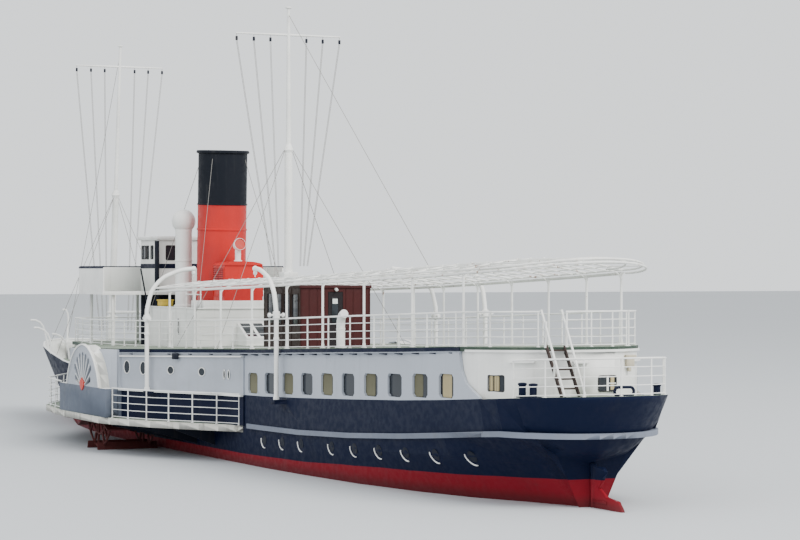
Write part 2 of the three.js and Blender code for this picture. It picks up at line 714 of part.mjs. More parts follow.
const rudderTop = counterZ(RUDDER_X + STOCK_R) - GAP;
const bladeOutline = [
  [RUDDER_X, -1.20], [-26.90, -1.20], [-27.20, -0.90], [-27.20, -0.05], [-27.10, 0.09],
  [-26.89, 0.29], [-26.22, 0.36], [-25.77, 0.58], [-25.98, 0.88], [-26.15, 1.10],
  [-26.00, 1.22], [RUDDER_X, 1.22],
];
const blade = panel(bladeOutline.reverse(), -0.06, 0.06);
const stock = rod([RUDDER_X, 0, -1.20], [RUDDER_X, 0, rudderTop], STOCK_R, STOCK_R, 10);
add('rudder', join([blade, stock]), 'boot');

// Casings, funnel and ventilators.

const casing = cut(box(4.0, 10.5, -2.03, 2.03, 3, CASING_TOP), [deckCut]);
add('engine_casing', casing, 'white');
const louvreRoof = [];
for (let k = 0; k <= 6; k += 1) {
  const a = (k / 6) * Math.PI;
  louvreRoof.push([0.86 * Math.cos(a), 7.24 + 0.17 * Math.sin(a)]);
}
const redCasing = join([
  box(4.05, 5.35, -0.83, 0.83, CASING_TOP + GAP, 7.26),
  frame(louvreRoof, 4.0, 5.4),
]);
add('skylight_casing', redCasing, 'red');

// The funnel stands on the after edge of its raked foot.
const funnelProfile = [
  [0, 0.5], [FUNNEL_R - 0.06, 0.5], [FUNNEL_R - 0.06, FUNNEL_H], [FUNNEL_R + 0.08, FUNNEL_H],
  [FUNNEL_R + 0.08, FUNNEL_H - 0.1], [FUNNEL_R, FUNNEL_H - 0.14], [FUNNEL_R, 0], [0, 0],
];
const funnelFoot = CASING_TOP + GAP + FUNNEL_R * Math.sin((FUNNEL_RAKE * Math.PI) / 180);
const funnel = turned(funnelProfile, 32)
  .rotate([0, -FUNNEL_RAKE, 0])
  .translate([FUNNEL_X + 0.14, 0, funnelFoot]);
add('funnel', funnel, 'red');

const ventPipe = rod([8.0, 1.2, CASING_TOP + GAP], [8.0, 1.2, 9.1], 0.35, 0.35, 16);
const ventMouth = rod([8.05, 1.2, 9.15], [8.75, 1.2, 9.25], 0.36, 0.42, 14);
const ventHead = ball(8.0, 1.2, 9.1, 0.5, 14, 10).subtract(ventMouth);
add('engine_ventilator', join([ventPipe, ventHead]), 'white');

const cowlPipe = rod([4.7, 0.0, 7.41 + GAP], [4.7, 0.0, 8.0], 0.12, 0.12, 10);
const cowlMouth = rod([4.6, 0, 8.08], [4.3, 0, 8.15], 0.19, 0.2, 12);
const cowlHead = rod([4.85, 0.0, 8.02], [4.42, 0.0, 8.12], 0.2, 0.25, 12).subtract(cowlMouth);
add('small_cowl', join([cowlPipe, cowlHead]), 'white');

// Deckhouse on the promenade deck, hollow, with the door in its after face.
const CABIN = { x0: -5.62, x1: -1.90, y: 1.40, top: 6.45, wall: 0.08 };
const DOORWAY = { port: 0.30, starboard: -0.305, top: 6.24 };
const cabinRoom = box(
  CABIN.x0 + CABIN.wall, CABIN.x1 - CABIN.wall, -CABIN.y + CABIN.wall, CABIN.y - CABIN.wall,
  3.4, CABIN.top - CABIN.wall);
const doorway = box(CABIN.x0 - 0.1, CABIN.x0 + 0.2, DOORWAY.starboard, DOORWAY.port, 3.4, DOORWAY.top);
const cabin = cut(box(CABIN.x0, CABIN.x1, -CABIN.y, CABIN.y, 3.5, CABIN.top), [deckCut, cabinRoom, doorway]);
add('deckhouse', cabin, 'brown');
const doorFoot = promZ(CABIN.x0) + 0.03;
const doorLeaf = box(
  CABIN.x0, CABIN.x0 + 0.05, DOORWAY.starboard + 0.015, DOORWAY.port - 0.015,
  doorFoot, DOORWAY.top - 0.015);
add('deckhouse_door', doorLeaf, 'maroon');

// Bridge.

const bridgeParts = [box(10.0, 13.5, -4.1, 4.1, BRIDGE_Z - 0.12, BRIDGE_Z)];
[[10.2, 3.6], [13.3, 3.6], [13.3, 1.5]].forEach(([x, y]) => {
  bridgeParts.push(box(x - 0.06, x + 0.06, y - 0.06, y + 0.06, 3.4, BRIDGE_Z - 0.05));
  bridgeParts.push(box(x - 0.06, x + 0.06, -y - 0.06, -y + 0.06, 3.4, BRIDGE_Z - 0.05));
});
const bridgeDeck = cut(join(bridgeParts), [deckCut]);
add('bridge_deck', bridgeDeck, 'white');
const dodger = box(10.0, 13.5, -4.1, 4.1, BRIDGE_Z + GAP, BRIDGE_TOP)
  .subtract(box(9.5, 13.44, -4.04, 4.04, 6, 8));
add('bridge_bulwark', dodger, 'white');
const WH = { x0: 10.3, x1: 12.8, y: 1.5, z0: BRIDGE_Z + GAP, z1: 8.5 };
const houseWalls = box(WH.x0, WH.x1, -WH.y, WH.y, WH.z0, 8.42)
  .subtract(box(WH.x0 + 0.07, WH.x1 - 0.07, -WH.y + 0.07, WH.y - 0.07, 5, 8.36));
const EAVES = 0.12;
const houseRoof = box(WH.x0 - EAVES, WH.x1 + EAVES, -WH.y - EAVES, WH.y + EAVES, 8.38, WH.z1);
const sideWindows = [[11.09, 11.43], [11.70, 12.04], [12.11, 12.67]];
const frontWindows = [[-1.2, -0.5], [-0.35, 0.35], [0.5, 1.2]];
const backWindows = [[-1.2, -0.77], [0.77, 1.2]];
const houseWindows = [
  ...sideWindows.map(([x0, x1]) => box(x0, x1, -3, 3, 7.53, 8.10)),
  ...frontWindows.map(([y0, y1]) => box(12, 14, y0, y1, 7.48, 8.10)),
  ...backWindows.map(([y0, y1]) => box(9, 11, y0, y1, 7.48, 8.10)),
];
add('wheelhouse', cut(join([houseWalls, houseRoof]), houseWindows), 'white');

// Masts.

const mainMast = cut(join([
  rod([MAIN_MAST_X, 0, 3.9], [MAIN_MAST_X, 0, 11.8], 0.17, 0.15, 12),
  rod([MAIN_MAST_X, 0, 11.7], [MAIN_MAST_X, 0, MAIN_MAST_TOP], 0.10, 0.06, 10),
  rod([MAIN_MAST_X, 0, 11.65], [MAIN_MAST_X, 0, 11.95], 0.2, 0.2, 12),
  box(MAIN_MAST_X - 0.29, MAIN_MAST_X + 0.29, -0.29, 0.29, 6.68, 6.97),
  rod([MAIN_MAST_X, -2.18, 16.2], [MAIN_MAST_X, 2.18, 16.2], 0.05, 0.05, 8),
  rod([MAIN_MAST_X, 0, MAIN_MAST_TOP - 0.02], [MAIN_MAST_X, 0, MAIN_MAST_TOP + 0.05], 0.13, 0.13, 10),
]), [deckCut]);
add('main_mast', mainMast, 'white');
const foreAt = (z) => [FORE_MAST_X - (z - 2.3) * FORE_RAKE, 0, z];
const foreMast = join([
  rod(foreAt(2.25), foreAt(10.7), 0.17, 0.15, 12),
  rod(foreAt(10.5), foreAt(FORE_MAST_TOP), 0.10, 0.06, 10),
  rod(foreAt(10.5), foreAt(10.8), 0.2, 0.2, 12),
  rod([foreAt(16.6)[0], -2.12, 16.6], [foreAt(16.6)[0], 2.12, 16.6], 0.05, 0.05, 8),
  rod(foreAt(FORE_MAST_TOP - 0.02), foreAt(FORE_MAST_TOP + 0.05), 0.13, 0.13, 10),
]).subtract(band(20, 24, () => 0, (x) => foreDeck(x) + GAP));
add('fore_mast', foreMast, 'white');

// Awning frame.

const AWNING_END = { centre: -21.60, length: 4.60, half: 2.83 };
const AWNING_FRONT = { x: 3.95, y: 3.94 };
const awningZ = (x) => promZ(Math.max(x, STANCHIONS[STANCHIONS.length - 1].x)) + AWNING_H;
const awningParts = [];
const awningPoint = (x, half, t) => [x, half * t, awningZ(x) + AWNING_CAMBER * (1 - t * t)];
const ribs = [AWNING_FRONT].concat(STANCHIONS);
const lastRib = ribs[ribs.length - 1];
const ACROSS = [-1, -0.6, -0.2, 0.2, 0.6, 1];
ribs.forEach(({ x, y }) => {
  awningParts.push(bar(ACROSS.map((t) => awningPoint(x, y, t)), 0.07, AWNING_BAR));
});
const endStart = Math.asin((AWNING_END.centre - lastRib.x) / AWNING_END.length);
const endArc = [];
for (let k = 0; k <= 10; k += 1) {
  const a = endStart + (k / 10) * (Math.PI - 2 * endStart);
  const x = AWNING_END.centre - AWNING_END.length * Math.sin(a);
  endArc.push(awningPoint(x, AWNING_END.half, Math.cos(a)));
}
awningParts.push(bar(endArc, 0.07, AWNING_BAR));
// Battens run fore and aft over the ribs, and the inner ones on to the end bow.
ACROSS.forEach((t) => {
  const pts = ribs.map(({ x, y }) => awningPoint(x, y, t));
  if (Math.abs(t) < 1) {
    const u = (lastRib.y * t) / AWNING_END.half;
    const x = AWNING_END.centre - AWNING_END.length * Math.sqrt(1 - u * u);
    pts.push(awningPoint(x, AWNING_END.half, u));
  }
  awningParts.push(bar(pts, 0.06, 0.07));
});
add('awning_frame', join(awningParts), 'white');

// Stanchions stand on the deck and carry a light rail that the ribs rest on.
const CARRIER_H = 0.05;
const CARRIER_DROP = 0.0018;  // seam under a rib, with the deck's slope along its width
function stanchionRow(side) {
  const carrierZ = (x) => awningZ(x) - AWNING_BAR / 2 - CARRIER_DROP - CARRIER_H / 2;
  const parts = [];
  STANCHIONS.forEach(({ x, y }) => {
    parts.push(rod([x, side * y, promZ(x) - 0.05], [x, side * y, carrierZ(x)], 0.04, 0.04, 6));
  });
  parts.push(bar(STANCHIONS.map(({ x, y }) => [x, side * y, carrierZ(x)]), 0.06, CARRIER_H));
  return cut(join(parts), [deckCut]);
}
add('awning_stanchions_port', stanchionRow(1), 'white');
add('awning_stanchions_starboard', stanchionRow(-1), 'white');

// Rails.

function railing(line, base, height, bars, step, w = 0.05) {
  const parts = [];
  const total = [0];
  for (let i = 1; i < line.length; i += 1) {
    const d = Math.hypot(line[i][0] - line[i - 1][0], line[i][1] - line[i - 1][1]);
    total.push(total[i - 1] + d);
  }
  const length = total[total.length - 1];
  const at = (s) => {
    let i = 0;
    while (i + 2 < total.length && total[i + 1] < s) {
      i += 1;
    }
    const t = (s - total[i]) / (total[i + 1] - total[i]);
    return [0, 1].map((axis) => line[i][axis] + (line[i + 1][axis] - line[i][axis]) * t);
  };
  const count = Math.max(1, Math.round(length / step));
  for (let k = 0; k <= count; k += 1) {
    const s = Math.min(Math.max((length * k) / count, 0.03), length - 0.03);
    const [x, y] = at(s);
    const z = base(x);
    parts.push(box(x - w / 2, x + w / 2, y - w / 2, y + w / 2, z - 0.1, z + height - 0.01));
  }
  for (let k = 0; k < bars; k += 1) {
    const h = height * (1 - k / bars) - 0.02;
    const thick = k === 0 ? 0.055 : 0.035;
    parts.push(bar(line.map(([x, y]) => [x, y, base(x) + h]), thick, thick));
  }
  return join(parts);
}
const RAIL_INSET = 0.08;
const GATE_X = -24.80;        // after end of the side rails, at the ladder
const AFT_RAIL_TIP = DECK_END.centre - DECK_END.length + RAIL_INSET;
const railHalf = (x) => ellipseHalf(DECK_END, x, RAIL_INSET);
const RAIL_LINE = [
  [15.9, 3.55], [13.0, 3.83], [8.0, 3.90], [2.0, 4.08], [-4.0, 4.08], [-7.9, 3.89], [-11.6, 3.77],
  [-15.5, 3.57], [-18.85, 3.27], [-21.6, railHalf(-21.6)],
].concat([-22.6, -23.4, -24.0, -24.4, GATE_X].map((x) => [x, railHalf(x)]));
const promRail = cut(railing(RAIL_LINE, promZ, RAIL_H, 2, 1.62), [deckCut]);
add('promenade_rail_port', promRail, 'white');
add('promenade_rail_starboard', mirrorY(promRail), 'white');
const AFT_LINE = [[-25.20, railHalf(-25.20)], [-25.29, railHalf(-25.29)], [AFT_RAIL_TIP, 0]]
  .concat([-25.29, -25.20, -25.04, GATE_X - 0.07].map((x) => [x, -railHalf(x)]));
add('promenade_rail_aft', cut(railing(AFT_LINE, promZ, RAIL_H, 2, 1.0), [deckCut]), 'white');
const FORE_LINE = [[15.94, 3.45], [15.94, 0], [15.94, -3.45]];
add('promenade_rail_fore', cut(railing(FORE_LINE, promZ, RAIL_H, 2, 1.38), [deckCut]), 'white');

const hullEnd = COUNTER_PLAN[COUNTER_PLAN.length - 1];
const quarterPort = [-25.10, -25.60, -26.10, -26.50, -26.85, -27.05]
  .map((x) => [x, ellipseHalf(hullEnd, x, 0.07)]);
const QUARTER = quarterPort.concat(quarterPort.slice().reverse().map(([x, y]) => [x, -y]));
const hullTopCut = band(-30, WELL_END, () => -3, (x) => hullTop(x) + GAP);
add('quarterdeck_rail', cut(railing(QUARTER, hullTop, 1.12, 2, 1.2), [hullTopCut]), 'white');

function sponsonRail(side) {
  const aft = [[-0.2, 6.64], [-1.1, 6.40], [-2.2, 6.0], [-3.5, 5.27], [-4.4, 4.72]];
  const fore = [[6.9, 6.83], [8.0, 6.72], [10.25, 6.42], [12.4, 5.3], [14.3, 4.25]];
  return [aft, fore].map((line) => {
    const deckTop = box(-8, 17, -9, 9, 0, SPONSON_Z + GAP);
    const body = cut(railing(line, () => SPONSON_Z, 1.15, 2, 1.3), [deckTop]);
    return side > 0 ? body : mirrorY(body);
  });
}
const [railAftP, railForeP] = sponsonRail(1);
const [railAftS, railForeS] = sponsonRail(-1);
add('sponson_rail_aft_port', railAftP, 'white');
add('sponson_rail_fore_port', railForeP, 'white');
add('sponson_rail_aft_starboard', railAftS, 'white');
add('sponson_rail_fore_starboard', railForeS, 'white');

// Boat davits.

const DAVIT_R = 0.08;
const DAVIT_FORE = { x: -1.60, y: 6.01, foot: 2.53, collar: 5.23, dx: 0, dy: -1 };
const DAVIT_AFT = { x: -9.95, y: 4.06, foot: 2.53, collar: 5.48, dx: 1, dy: 0.04 };
// Reach and height of the arm's bend above the shaft.
const BEND = [
  { out: 0, z: 5.54 },
  { out: 0.17, z: 6.22 },
  { out: 0.50, z: 6.63 },
  { out: 0.91, z: 6.88 },
  { out: 1.40, z: 7.05 },
  { out: 1.86, z: 7.10 },
];
function davit({ x, y, foot, collar, dx, dy }) {
  const pts = [[x, y, foot]].concat(BEND.map((b) => [x + dx * b.out, y + dy * b.out, b.z]));
  const [headX, headY] = pts[pts.length - 1];
  return join([
    pipe(pts, DAVIT_R, 8),
    rod([x, y, foot], [x, y, foot + 0.12], 0.1, 0.1, 8),
    rod([x, y, collar - 0.1], [x, y, collar + 0.1], 0.13, 0.13, 8),
    box(headX - 0.11, headX + 0.11, headY - 0.11, headY + 0.11, 7.0, 7.2),
  ]);
}
const davitFore = davit(DAVIT_FORE);
const davitAft = davit(DAVIT_AFT);
add('davit_fore_port', davitFore, 'white');
add('davit_fore_starboard', mirrorY(davitFore), 'white');
add('davit_aft_port', davitAft, 'white');
add('davit_aft_starboard', mirrorY(davitAft), 'white');

// Boom, ladder, vent and deck fittings.

const BOOM = { z: 5.05, heel: 0.24, endX: 17.4, endZ: 5.12 };
const boomRoot = foreAt(BOOM.z);
const boom = rod([boomRoot[0] - BOOM.heel, 0, BOOM.z], [BOOM.endX, 0, BOOM.endZ], 0.075, 0.06, 8);
add('cargo_boom', boom, 'white');

const LADDER = { x0: -25.10, x1: -26.20, y: 1.20, z0: 4.95, z1: 3.30, half: 0.29 };
const ladderParts = [];
[1, -1].forEach((side) => {
  const y = LADDER.y + side * LADDER.half;
  ladderParts.push(bar([[LADDER.x0, y, LADDER.z0], [LADDER.x1, y, LADDER.z1]], 0.05, 0.2));
});
for (let k = 1; k <= 5; k += 1) {
  const t = k / 6;
  const x = LADDER.x0 + (LADDER.x1 - LADDER.x0) * t;
  const z = LADDER.z0 + (LADDER.z1 - LADDER.z0) * t;
  const [y0, y1] = [LADDER.y - LADDER.half, LADDER.y + LADDER.half];
  ladderParts.push(box(x - 0.09, x + 0.09, y0, y1, z - 0.02, z + 0.02));
}
const ladder = cut(join(ladderParts), [hullTopCut, deckClear]);
add('stern_ladder', ladder, 'brown');

const VENT = { x: -13.8, y: 3.25 };
const ventZ = promZ(VENT.x);
const goose = pipe([
  [VENT.x, VENT.y, ventZ - 0.1],
  [VENT.x, VENT.y, ventZ + 0.85],
  [VENT.x - 0.04, VENT.y, ventZ + 1.01],
  [VENT.x - 0.14, VENT.y, ventZ + 1.13],
  [VENT.x - 0.32, VENT.y, ventZ + 1.19],
], [0.13, 0.13, 0.135, 0.145, 0.16], 10);
add('deck_vent', cut(goose, [deckCut]), 'white');

const windlass = cut(join([
  box(25.0, 25.9, -0.75, 0.75, 2, 2.75),
  rod([25.45, -1.05, 2.95], [25.45, 1.05, 2.95], 0.26, 0.26, 12),
]), [band(24, 27, () => 0, (x) => foreDeck(x) + GAP)]);
add('windlass', windlass, 'steel');

export default group;
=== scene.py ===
import math

import bpy
from bpy.props import FloatProperty, FloatVectorProperty, IntProperty, PointerProperty
from mathutils import Matrix, Vector


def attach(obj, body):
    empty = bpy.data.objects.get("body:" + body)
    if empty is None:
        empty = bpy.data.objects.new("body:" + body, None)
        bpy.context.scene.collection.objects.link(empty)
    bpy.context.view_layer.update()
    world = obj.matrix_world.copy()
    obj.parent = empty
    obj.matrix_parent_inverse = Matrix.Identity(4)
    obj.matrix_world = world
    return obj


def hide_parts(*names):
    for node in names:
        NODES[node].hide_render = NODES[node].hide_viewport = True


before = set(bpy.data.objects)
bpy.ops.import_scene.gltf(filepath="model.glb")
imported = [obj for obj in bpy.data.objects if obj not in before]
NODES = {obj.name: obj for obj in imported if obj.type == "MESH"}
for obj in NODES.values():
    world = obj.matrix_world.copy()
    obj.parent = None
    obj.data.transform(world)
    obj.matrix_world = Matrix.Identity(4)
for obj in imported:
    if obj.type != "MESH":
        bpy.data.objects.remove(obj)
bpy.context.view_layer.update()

bl_info = {
    "name": "Paddle Steamer",
    "version": (1, 0, 0),
    "blender": (4, 5, 0),
    "location": "View3D > Sidebar > Steamer",
    "description": "Dresses the solids of a half-size paddle steamer with fittings and paint",
    "category": "Object",
}

HALF = 0.5                  # the model's metres for each metre of the ship
SHIP = "ship"

# Places below are metres of the ship: x to the bow, y to port, z up from the waterline.
RAIL_HEIGHT = 1.065
RAIL_BARS = (1.0, 0.775, 0.53, 0.30, 0.07)
AWNING_HEIGHT = 2.33
AWNING_CAMBER = 0.34
SHAFT = (3.40, 1.65)        # x, z of the paddle shaft
BOX_ARCH = (3.40, 1.90, 2.20)
BOX_FACE = 7.00
FUNNEL_FOOT = (6.74, 5.5415)
FUNNEL_RAKE = 2.3
MAIN_MAST = -0.90
FORE_MAST = 21.98
FORE_RAKE = 0.1016
SPONSON = 1.40
NAVY_TOP = 2.5              # upper edge of the navy foot of houses and paddle boxes
MAIN_YARD = 16.2
FORE_YARD = 16.6
SIDES = ((1, "port"), (-1, "starboard"))

# Ends in plan as ellipses: centre, length abaft it and half-breadth.
DECK_END = (-21.60, 3.84, 2.97)
STERN_END = (-24.00, 3.20, 2.80)
AWNING_END = (-21.60, 4.60, 2.83)


def ellipse_half(plan, x, inset=0.0):
    centre, length, half = plan
    u = (centre - x) / (length - inset)
    return (half - inset) * math.sqrt(max(1 - u * u, 0))


def ellipse_side(plan, stations, least=0.0, inset=0.0):
    return tuple((x, max(ellipse_half(plan, x, inset), least)) for x in stations)


HULL_TOP = (
    (-27.20, 3.38), (-26.90, 3.37), (-26.20, 3.34), (-25.28, 3.29), (-24.40, 3.235), (-23.5, 3.18),
    (-21.0, 3.03), (-18.6, 2.91), (-15.2, 2.78), (-11.3, 2.64), (-8.0, 2.54), (-4.0, 2.47),
    (4.0, 2.45), (10.0, 2.50), (14.0, 2.66), (18.0, 2.92), (21.0, 3.18), (24.0, 3.40),
    (26.5, 3.50), (28.7, 3.56), (29.7, 3.57),
)
HULL_SIDE = ellipse_side(STERN_END, (-27.20, -27.10, -26.90, -26.50, -26.20, -25.80, -25.28)) + (
    (-24.40, 2.77), (-23.5, 2.84), (-21.0, 2.99), (-18.6, 3.23), (-15.2, 3.50), (-11.3, 3.70),
    (-8.0, 3.80), (-4.0, 3.85), (4.0, 3.86), (10.0, 3.80), (14.0, 3.70), (18.0, 3.50),
    (21.0, 3.22), (24.0, 2.72), (26.5, 1.98), (27.6, 1.52), (28.7, 0.88), (29.7, 0.08),
)
DECK_Z = (
    (-25.44, 4.77), (-22.30, 4.7185), (-21.60, 4.70), (-18.85, 4.60), (-15.50, 4.49),
    (-11.60, 4.36), (-7.90, 4.23), (-5.00, 4.155), (-1.40, 4.075), (0.40, 4.035), (6.60, 3.915),
    (9.80, 3.86), (13.00, 3.85), (16.00, 3.87),
)
DECK_SIDE = ellipse_side(
    DECK_END, (-25.44, -25.40, -25.25, -24.95, -24.50, -23.90, -23.10, -22.30), 0.1) + (
    (-21.60, 2.97), (-18.85, 3.34), (-15.50, 3.63), (-11.60, 3.83), (-7.90, 3.95), (-6.00, 4.00),
    (-5.00, 4.26), (-3.20, 5.06), (-1.40, 5.92), (0.40, 6.47), (6.60, 6.47), (8.20, 5.92),
    (9.80, 5.30), (11.50, 4.45), (13.00, 3.98), (16.00, 3.66),
)
STANCHIONS = (
    (1.80, 3.94), (-1.13, 3.94), (-4.02, 3.94), (-6.95, 3.82), (-10.05, 3.71), (-13.02, 3.58),
    (-16.10, 3.40), (-19.27, 3.12), (-22.20, 2.75),
)
# Height of the red paint's upper edge.
BOOT_LINE = (
    (-30.0, 0.92), (-25.35, 0.83), (-21.0, 0.72), (-17.3, 0.65), (-14.6, 0.58), (-11.7, 0.47),
    (-6.0, 0.38), (4.0, 0.36), (14.0, 0.48), (22.0, 0.70), (30.0, 1.00),
)


def along(table, x):
    """Second column of a table at x, straight between its rows."""
    for (x0, v0), (x1, v1) in zip(table, table[1:]):
        if x <= x1:
            return v0 + (v1 - v0) * max(0.0, (x - x0) / (x1 - x0))
    return table[-1][1]


def deck_z(x):
    return along(DECK_Z, x)


def hull_top(x):
    return along(HULL_TOP, x)


def fore_deck(x):
    return hull_top(x) - 0.95


def sizes():
    return bpy.context.scene.steamer_sizes


def colours():
    return bpy.context.scene.steamer_colours


# Mesh helpers


def deselect():
    bpy.ops.object.select_all(action="DESELECT")


def select_only(obj):
    deselect()
    obj.select_set(True)
    bpy.context.view_layer.objects.active = obj


def edit(obj, *steps):
    """Runs edit-mode steps on the whole of obj."""
    select_only(obj)
    bpy.ops.object.mode_set(mode="EDIT")
    bpy.ops.mesh.select_all(action="SELECT")
    for step in steps:
        step()
    bpy.ops.object.mode_set(mode="OBJECT")
    return obj


def settle():
    """Puts the new object's place into its mesh."""
    bpy.ops.object.transform_apply(location=True, rotation=True, scale=True)
    return bpy.context.object


def soften(obj, width, segments=2):
    return edit(obj, lambda: bpy.ops.mesh.bevel(offset=width * HALF, segments=segments))


def block(x0, x1, y0, y1, z0, z1, soft=0.0):
    deselect()
    middle = Vector(((x0 + x1) / 2, (y0 + y1) / 2, (z0 + z1) / 2)) * HALF
    span = Vector((abs(x1 - x0), abs(y1 - y0), abs(z1 - z0))) * HALF
    bpy.ops.mesh.primitive_cube_add(size=1, location=middle, scale=span)
    made = settle()
    return soften(made, soft) if soft else made


def cone(start, end, r0, r1=None, sides=16, soft=0.0):
    """A round bar from start to end, r0 thick at the start and r1 at the end."""
    deselect()
    a, b = Vector(start) * HALF, Vector(end) * HALF
    turn = (b - a).to_track_quat("Z", "Y").to_euler()
    bpy.ops.mesh.primitive_cone_add(
        vertices=sides, radius1=r0 * HALF, radius2=(r0 if r1 is None else r1) * HALF,
        depth=(b - a).length, location=(a + b) / 2, rotation=turn)
    made = settle()
    return soften(made, soft, 1) if soft else made


def turned(foot, profile, sides=32):
    """Rings of (radius, height) above foot, each extruded from the last and resized."""
    deselect()
    x, y, z = foot
    r, h = profile[0]
    bpy.ops.mesh.primitive_circle_add(
        vertices=sides, radius=r * HALF, location=Vector((x, y, z + h)) * HALF,
        fill_type="NGON")
    made = settle()
    bpy.ops.object.mode_set(mode="EDIT")
    bpy.ops.mesh.select_all(action="SELECT")
    for next_r, next_h in profile[1:]:
        bpy.ops.mesh.extrude_region_move(
            TRANSFORM_OT_translate={"value": (0, 0, (next_h - h) * HALF)})
        grow = next_r / r
        bpy.ops.transform.resize(
            value=(grow, grow, 1), center_override=Vector((x, y, z + next_h)) * HALF)
        r, h = next_r, next_h
    bpy.ops.mesh.select_all(action="SELECT")
    bpy.ops.mesh.normals_make_consistent(inside=False)
    bpy.ops.object.mode_set(mode="OBJECT")
    return made


def ball(centre, radius, rings=12, squash=1.0):
    deselect()
    bpy.ops.mesh.primitive_uv_sphere_add(
        segments=rings * 2, ring_count=rings, radius=radius * HALF,
        location=Vector(centre) * HALF, scale=(1, 1, squash))
    return settle()


def tubes(routes, radius, roundness=2, closed=False):
    """Round bars of one radius along routes of points."""
    deselect()
    bpy.ops.curve.primitive_nurbs_path_add()
    made = bpy.context.object
    curve = made.data
    curve.splines.clear()
    for route in routes:
        spline = curve.splines.new("POLY")
        spline.points.add(len(route) - 1)
        spline.use_cyclic_u = closed
        for point, place in zip(spline.points, route):
            point.co = (*(Vector(place) * HALF), 1.0)
    curve.bevel_depth = radius * HALF
    curve.bevel_resolution = roundness
    curve.use_fill_caps = True
    bpy.ops.object.convert(target="MESH")
    return bpy.context.object


def filled(points, move):
    """A filled loop of points, extruded by a move."""
    deselect()
    bpy.ops.mesh.primitive_circle_add(vertices=len(points), radius=1, fill_type="NGON")
    made = bpy.context.object
    for vertex, place in zip(made.data.vertices, points):
        vertex.co = Vector(place) * HALF
    return edit(
        made,
        lambda: bpy.ops.mesh.extrude_region_move(
            TRANSFORM_OT_translate={"value": Vector(move) * HALF}),
        lambda: bpy.ops.mesh.select_all(action="SELECT"),
        lambda: bpy.ops.mesh.normals_make_consistent(inside=False),
    )


def plate(outline, depth, axis="Y", start=0.0):
    """An outline drawn as a filled face and extruded by depth along an axis.

    Its points are (x, z) for axis Y, (y, z) for axis X and (x, y) for axis Z."""
    place, move = {
        "X": (lambda u, v: (start, u, v), (depth, 0, 0)),
        "Y": (lambda u, v: (u, start, v), (0, depth, 0)),
        "Z": (lambda u, v: (u, v, start), (0, 0, depth)),
    }[axis]
    return filled([place(u, v) for u, v in outline], move)


def sheet(loop, side, thick):
    """A flat filled loop, given a small thickness inwards from a side of the ship."""
    return filled(loop, (0, -side * thick, 0))


def thicken(obj, thick, offset=0):
    """Gives a surface a wall; the offset says to which side of it."""
    select_only(obj)
    wall = obj.modifiers.new("wall", "SOLIDIFY")
    wall.thickness = thick * HALF
    wall.offset = offset
    bpy.ops.object.modifier_apply(modifier=wall.name)
    return obj


def ribbon(points, tall, thick):
    """An upright strip through points, tall downwards from them and thick outwards."""
    deselect()
    bpy.ops.mesh.primitive_grid_add(x_subdivisions=len(points) - 1, y_subdivisions=1, size=1)
    made = bpy.context.object
    rows = len(points)
    for i, place in enumerate(points):
        top = Vector(place)
        made.data.vertices[i].co = top * HALF
        made.data.vertices[i + rows].co = (top - Vector((0, 0, tall))) * HALF
    return thicken(made, thick)


def copies(obj, places):
    """Copies of obj, each with its own mesh, moved by (x, y, z); obj itself goes."""
    made = []
    for place in places:
        again = obj.copy()
        again.data = obj.data.copy()
        again.data.transform(
            place if isinstance(place, Matrix) else Matrix.Translation(Vector(place) * HALF))
        bpy.context.collection.objects.link(again)
        made.append(again)
    bpy.data.objects.remove(obj)
    return made


def mirrored(obj):
    """A copy of obj on the other side of the centreline."""
    again = obj.copy()
    again.data = obj.data.copy()
    again.data.transform(Matrix.Scale(-1, 4, (0, 1, 0)))
    again.data.flip_normals()
    bpy.context.collection.objects.link(again)
    return again


def swapped(obj):
    """Puts obj on the other side of the centreline."""
    other = mirrored(obj)
    bpy.data.objects.remove(obj)
    return other


def circle(count):
    """Angles of a whole turn in equal steps."""
    return [2 * math.pi * k / count for k in range(count)]


def painted(material, *parts):
    for part in parts:
        part.data.materials.clear()
        part.data.materials.append(material)
    return list(parts)


def assemble(name, parts, body=SHIP, replaces=(), angle=35):
    """Joins the parts into one piece that rides on a body."""
    deselect()
    for part in parts:
        part.select_set(True)
    bpy.context.view_layer.objects.active = parts[0]
    if len(parts) > 1:
        bpy.ops.object.join()
    piece = bpy.context.object
    piece.name = name
    piece.data.name = name
    bpy.ops.object.shade_smooth_by_angle(angle=math.radians(angle))
    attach(piece, body)
    if replaces:
        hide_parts(*replaces)
    return piece


def give(obj, zones):
    """Gives another finish to the faces that pass each zone's test of place and normal."""
    for test, finish in zones:
        obj.data.materials.append(finish)
        index = len(obj.data.materials) - 1
        for face in obj.data.polygons:
            if test(face.center / HALF, face.normal):
                face.material_index = index


def skin(node, material, zones=(), flat=False):
    """A welded copy of a solid; zones give other finishes to faces that pass a test."""
    made = bpy.data.objects.new(node + "_skin", NODES[node].data.copy())
    bpy.context.collection.objects.link(made)
    steps = [lambda: bpy.ops.mesh.remove_doubles(threshold=2e-5)]
    if flat:
        steps.append(lambda: bpy.ops.mesh.dissolve_limited(angle_limit=math.radians(0.4)))
    edit(made, *steps)
    painted(material, made)
    give(made, zones)
    return made


# Finishes


def shader_node(tree, kind, inputs=None, **settings):
    made = tree.nodes.new(kind)
    for key, value in settings.items():
        setattr(made, key, value)
    for key, value in (inputs or {}).items():
        if isinstance(value, bpy.types.NodeSocket):
            tree.links.new(value, made.inputs[key])
        else:
            made.inputs[key].default_value = value
    return made


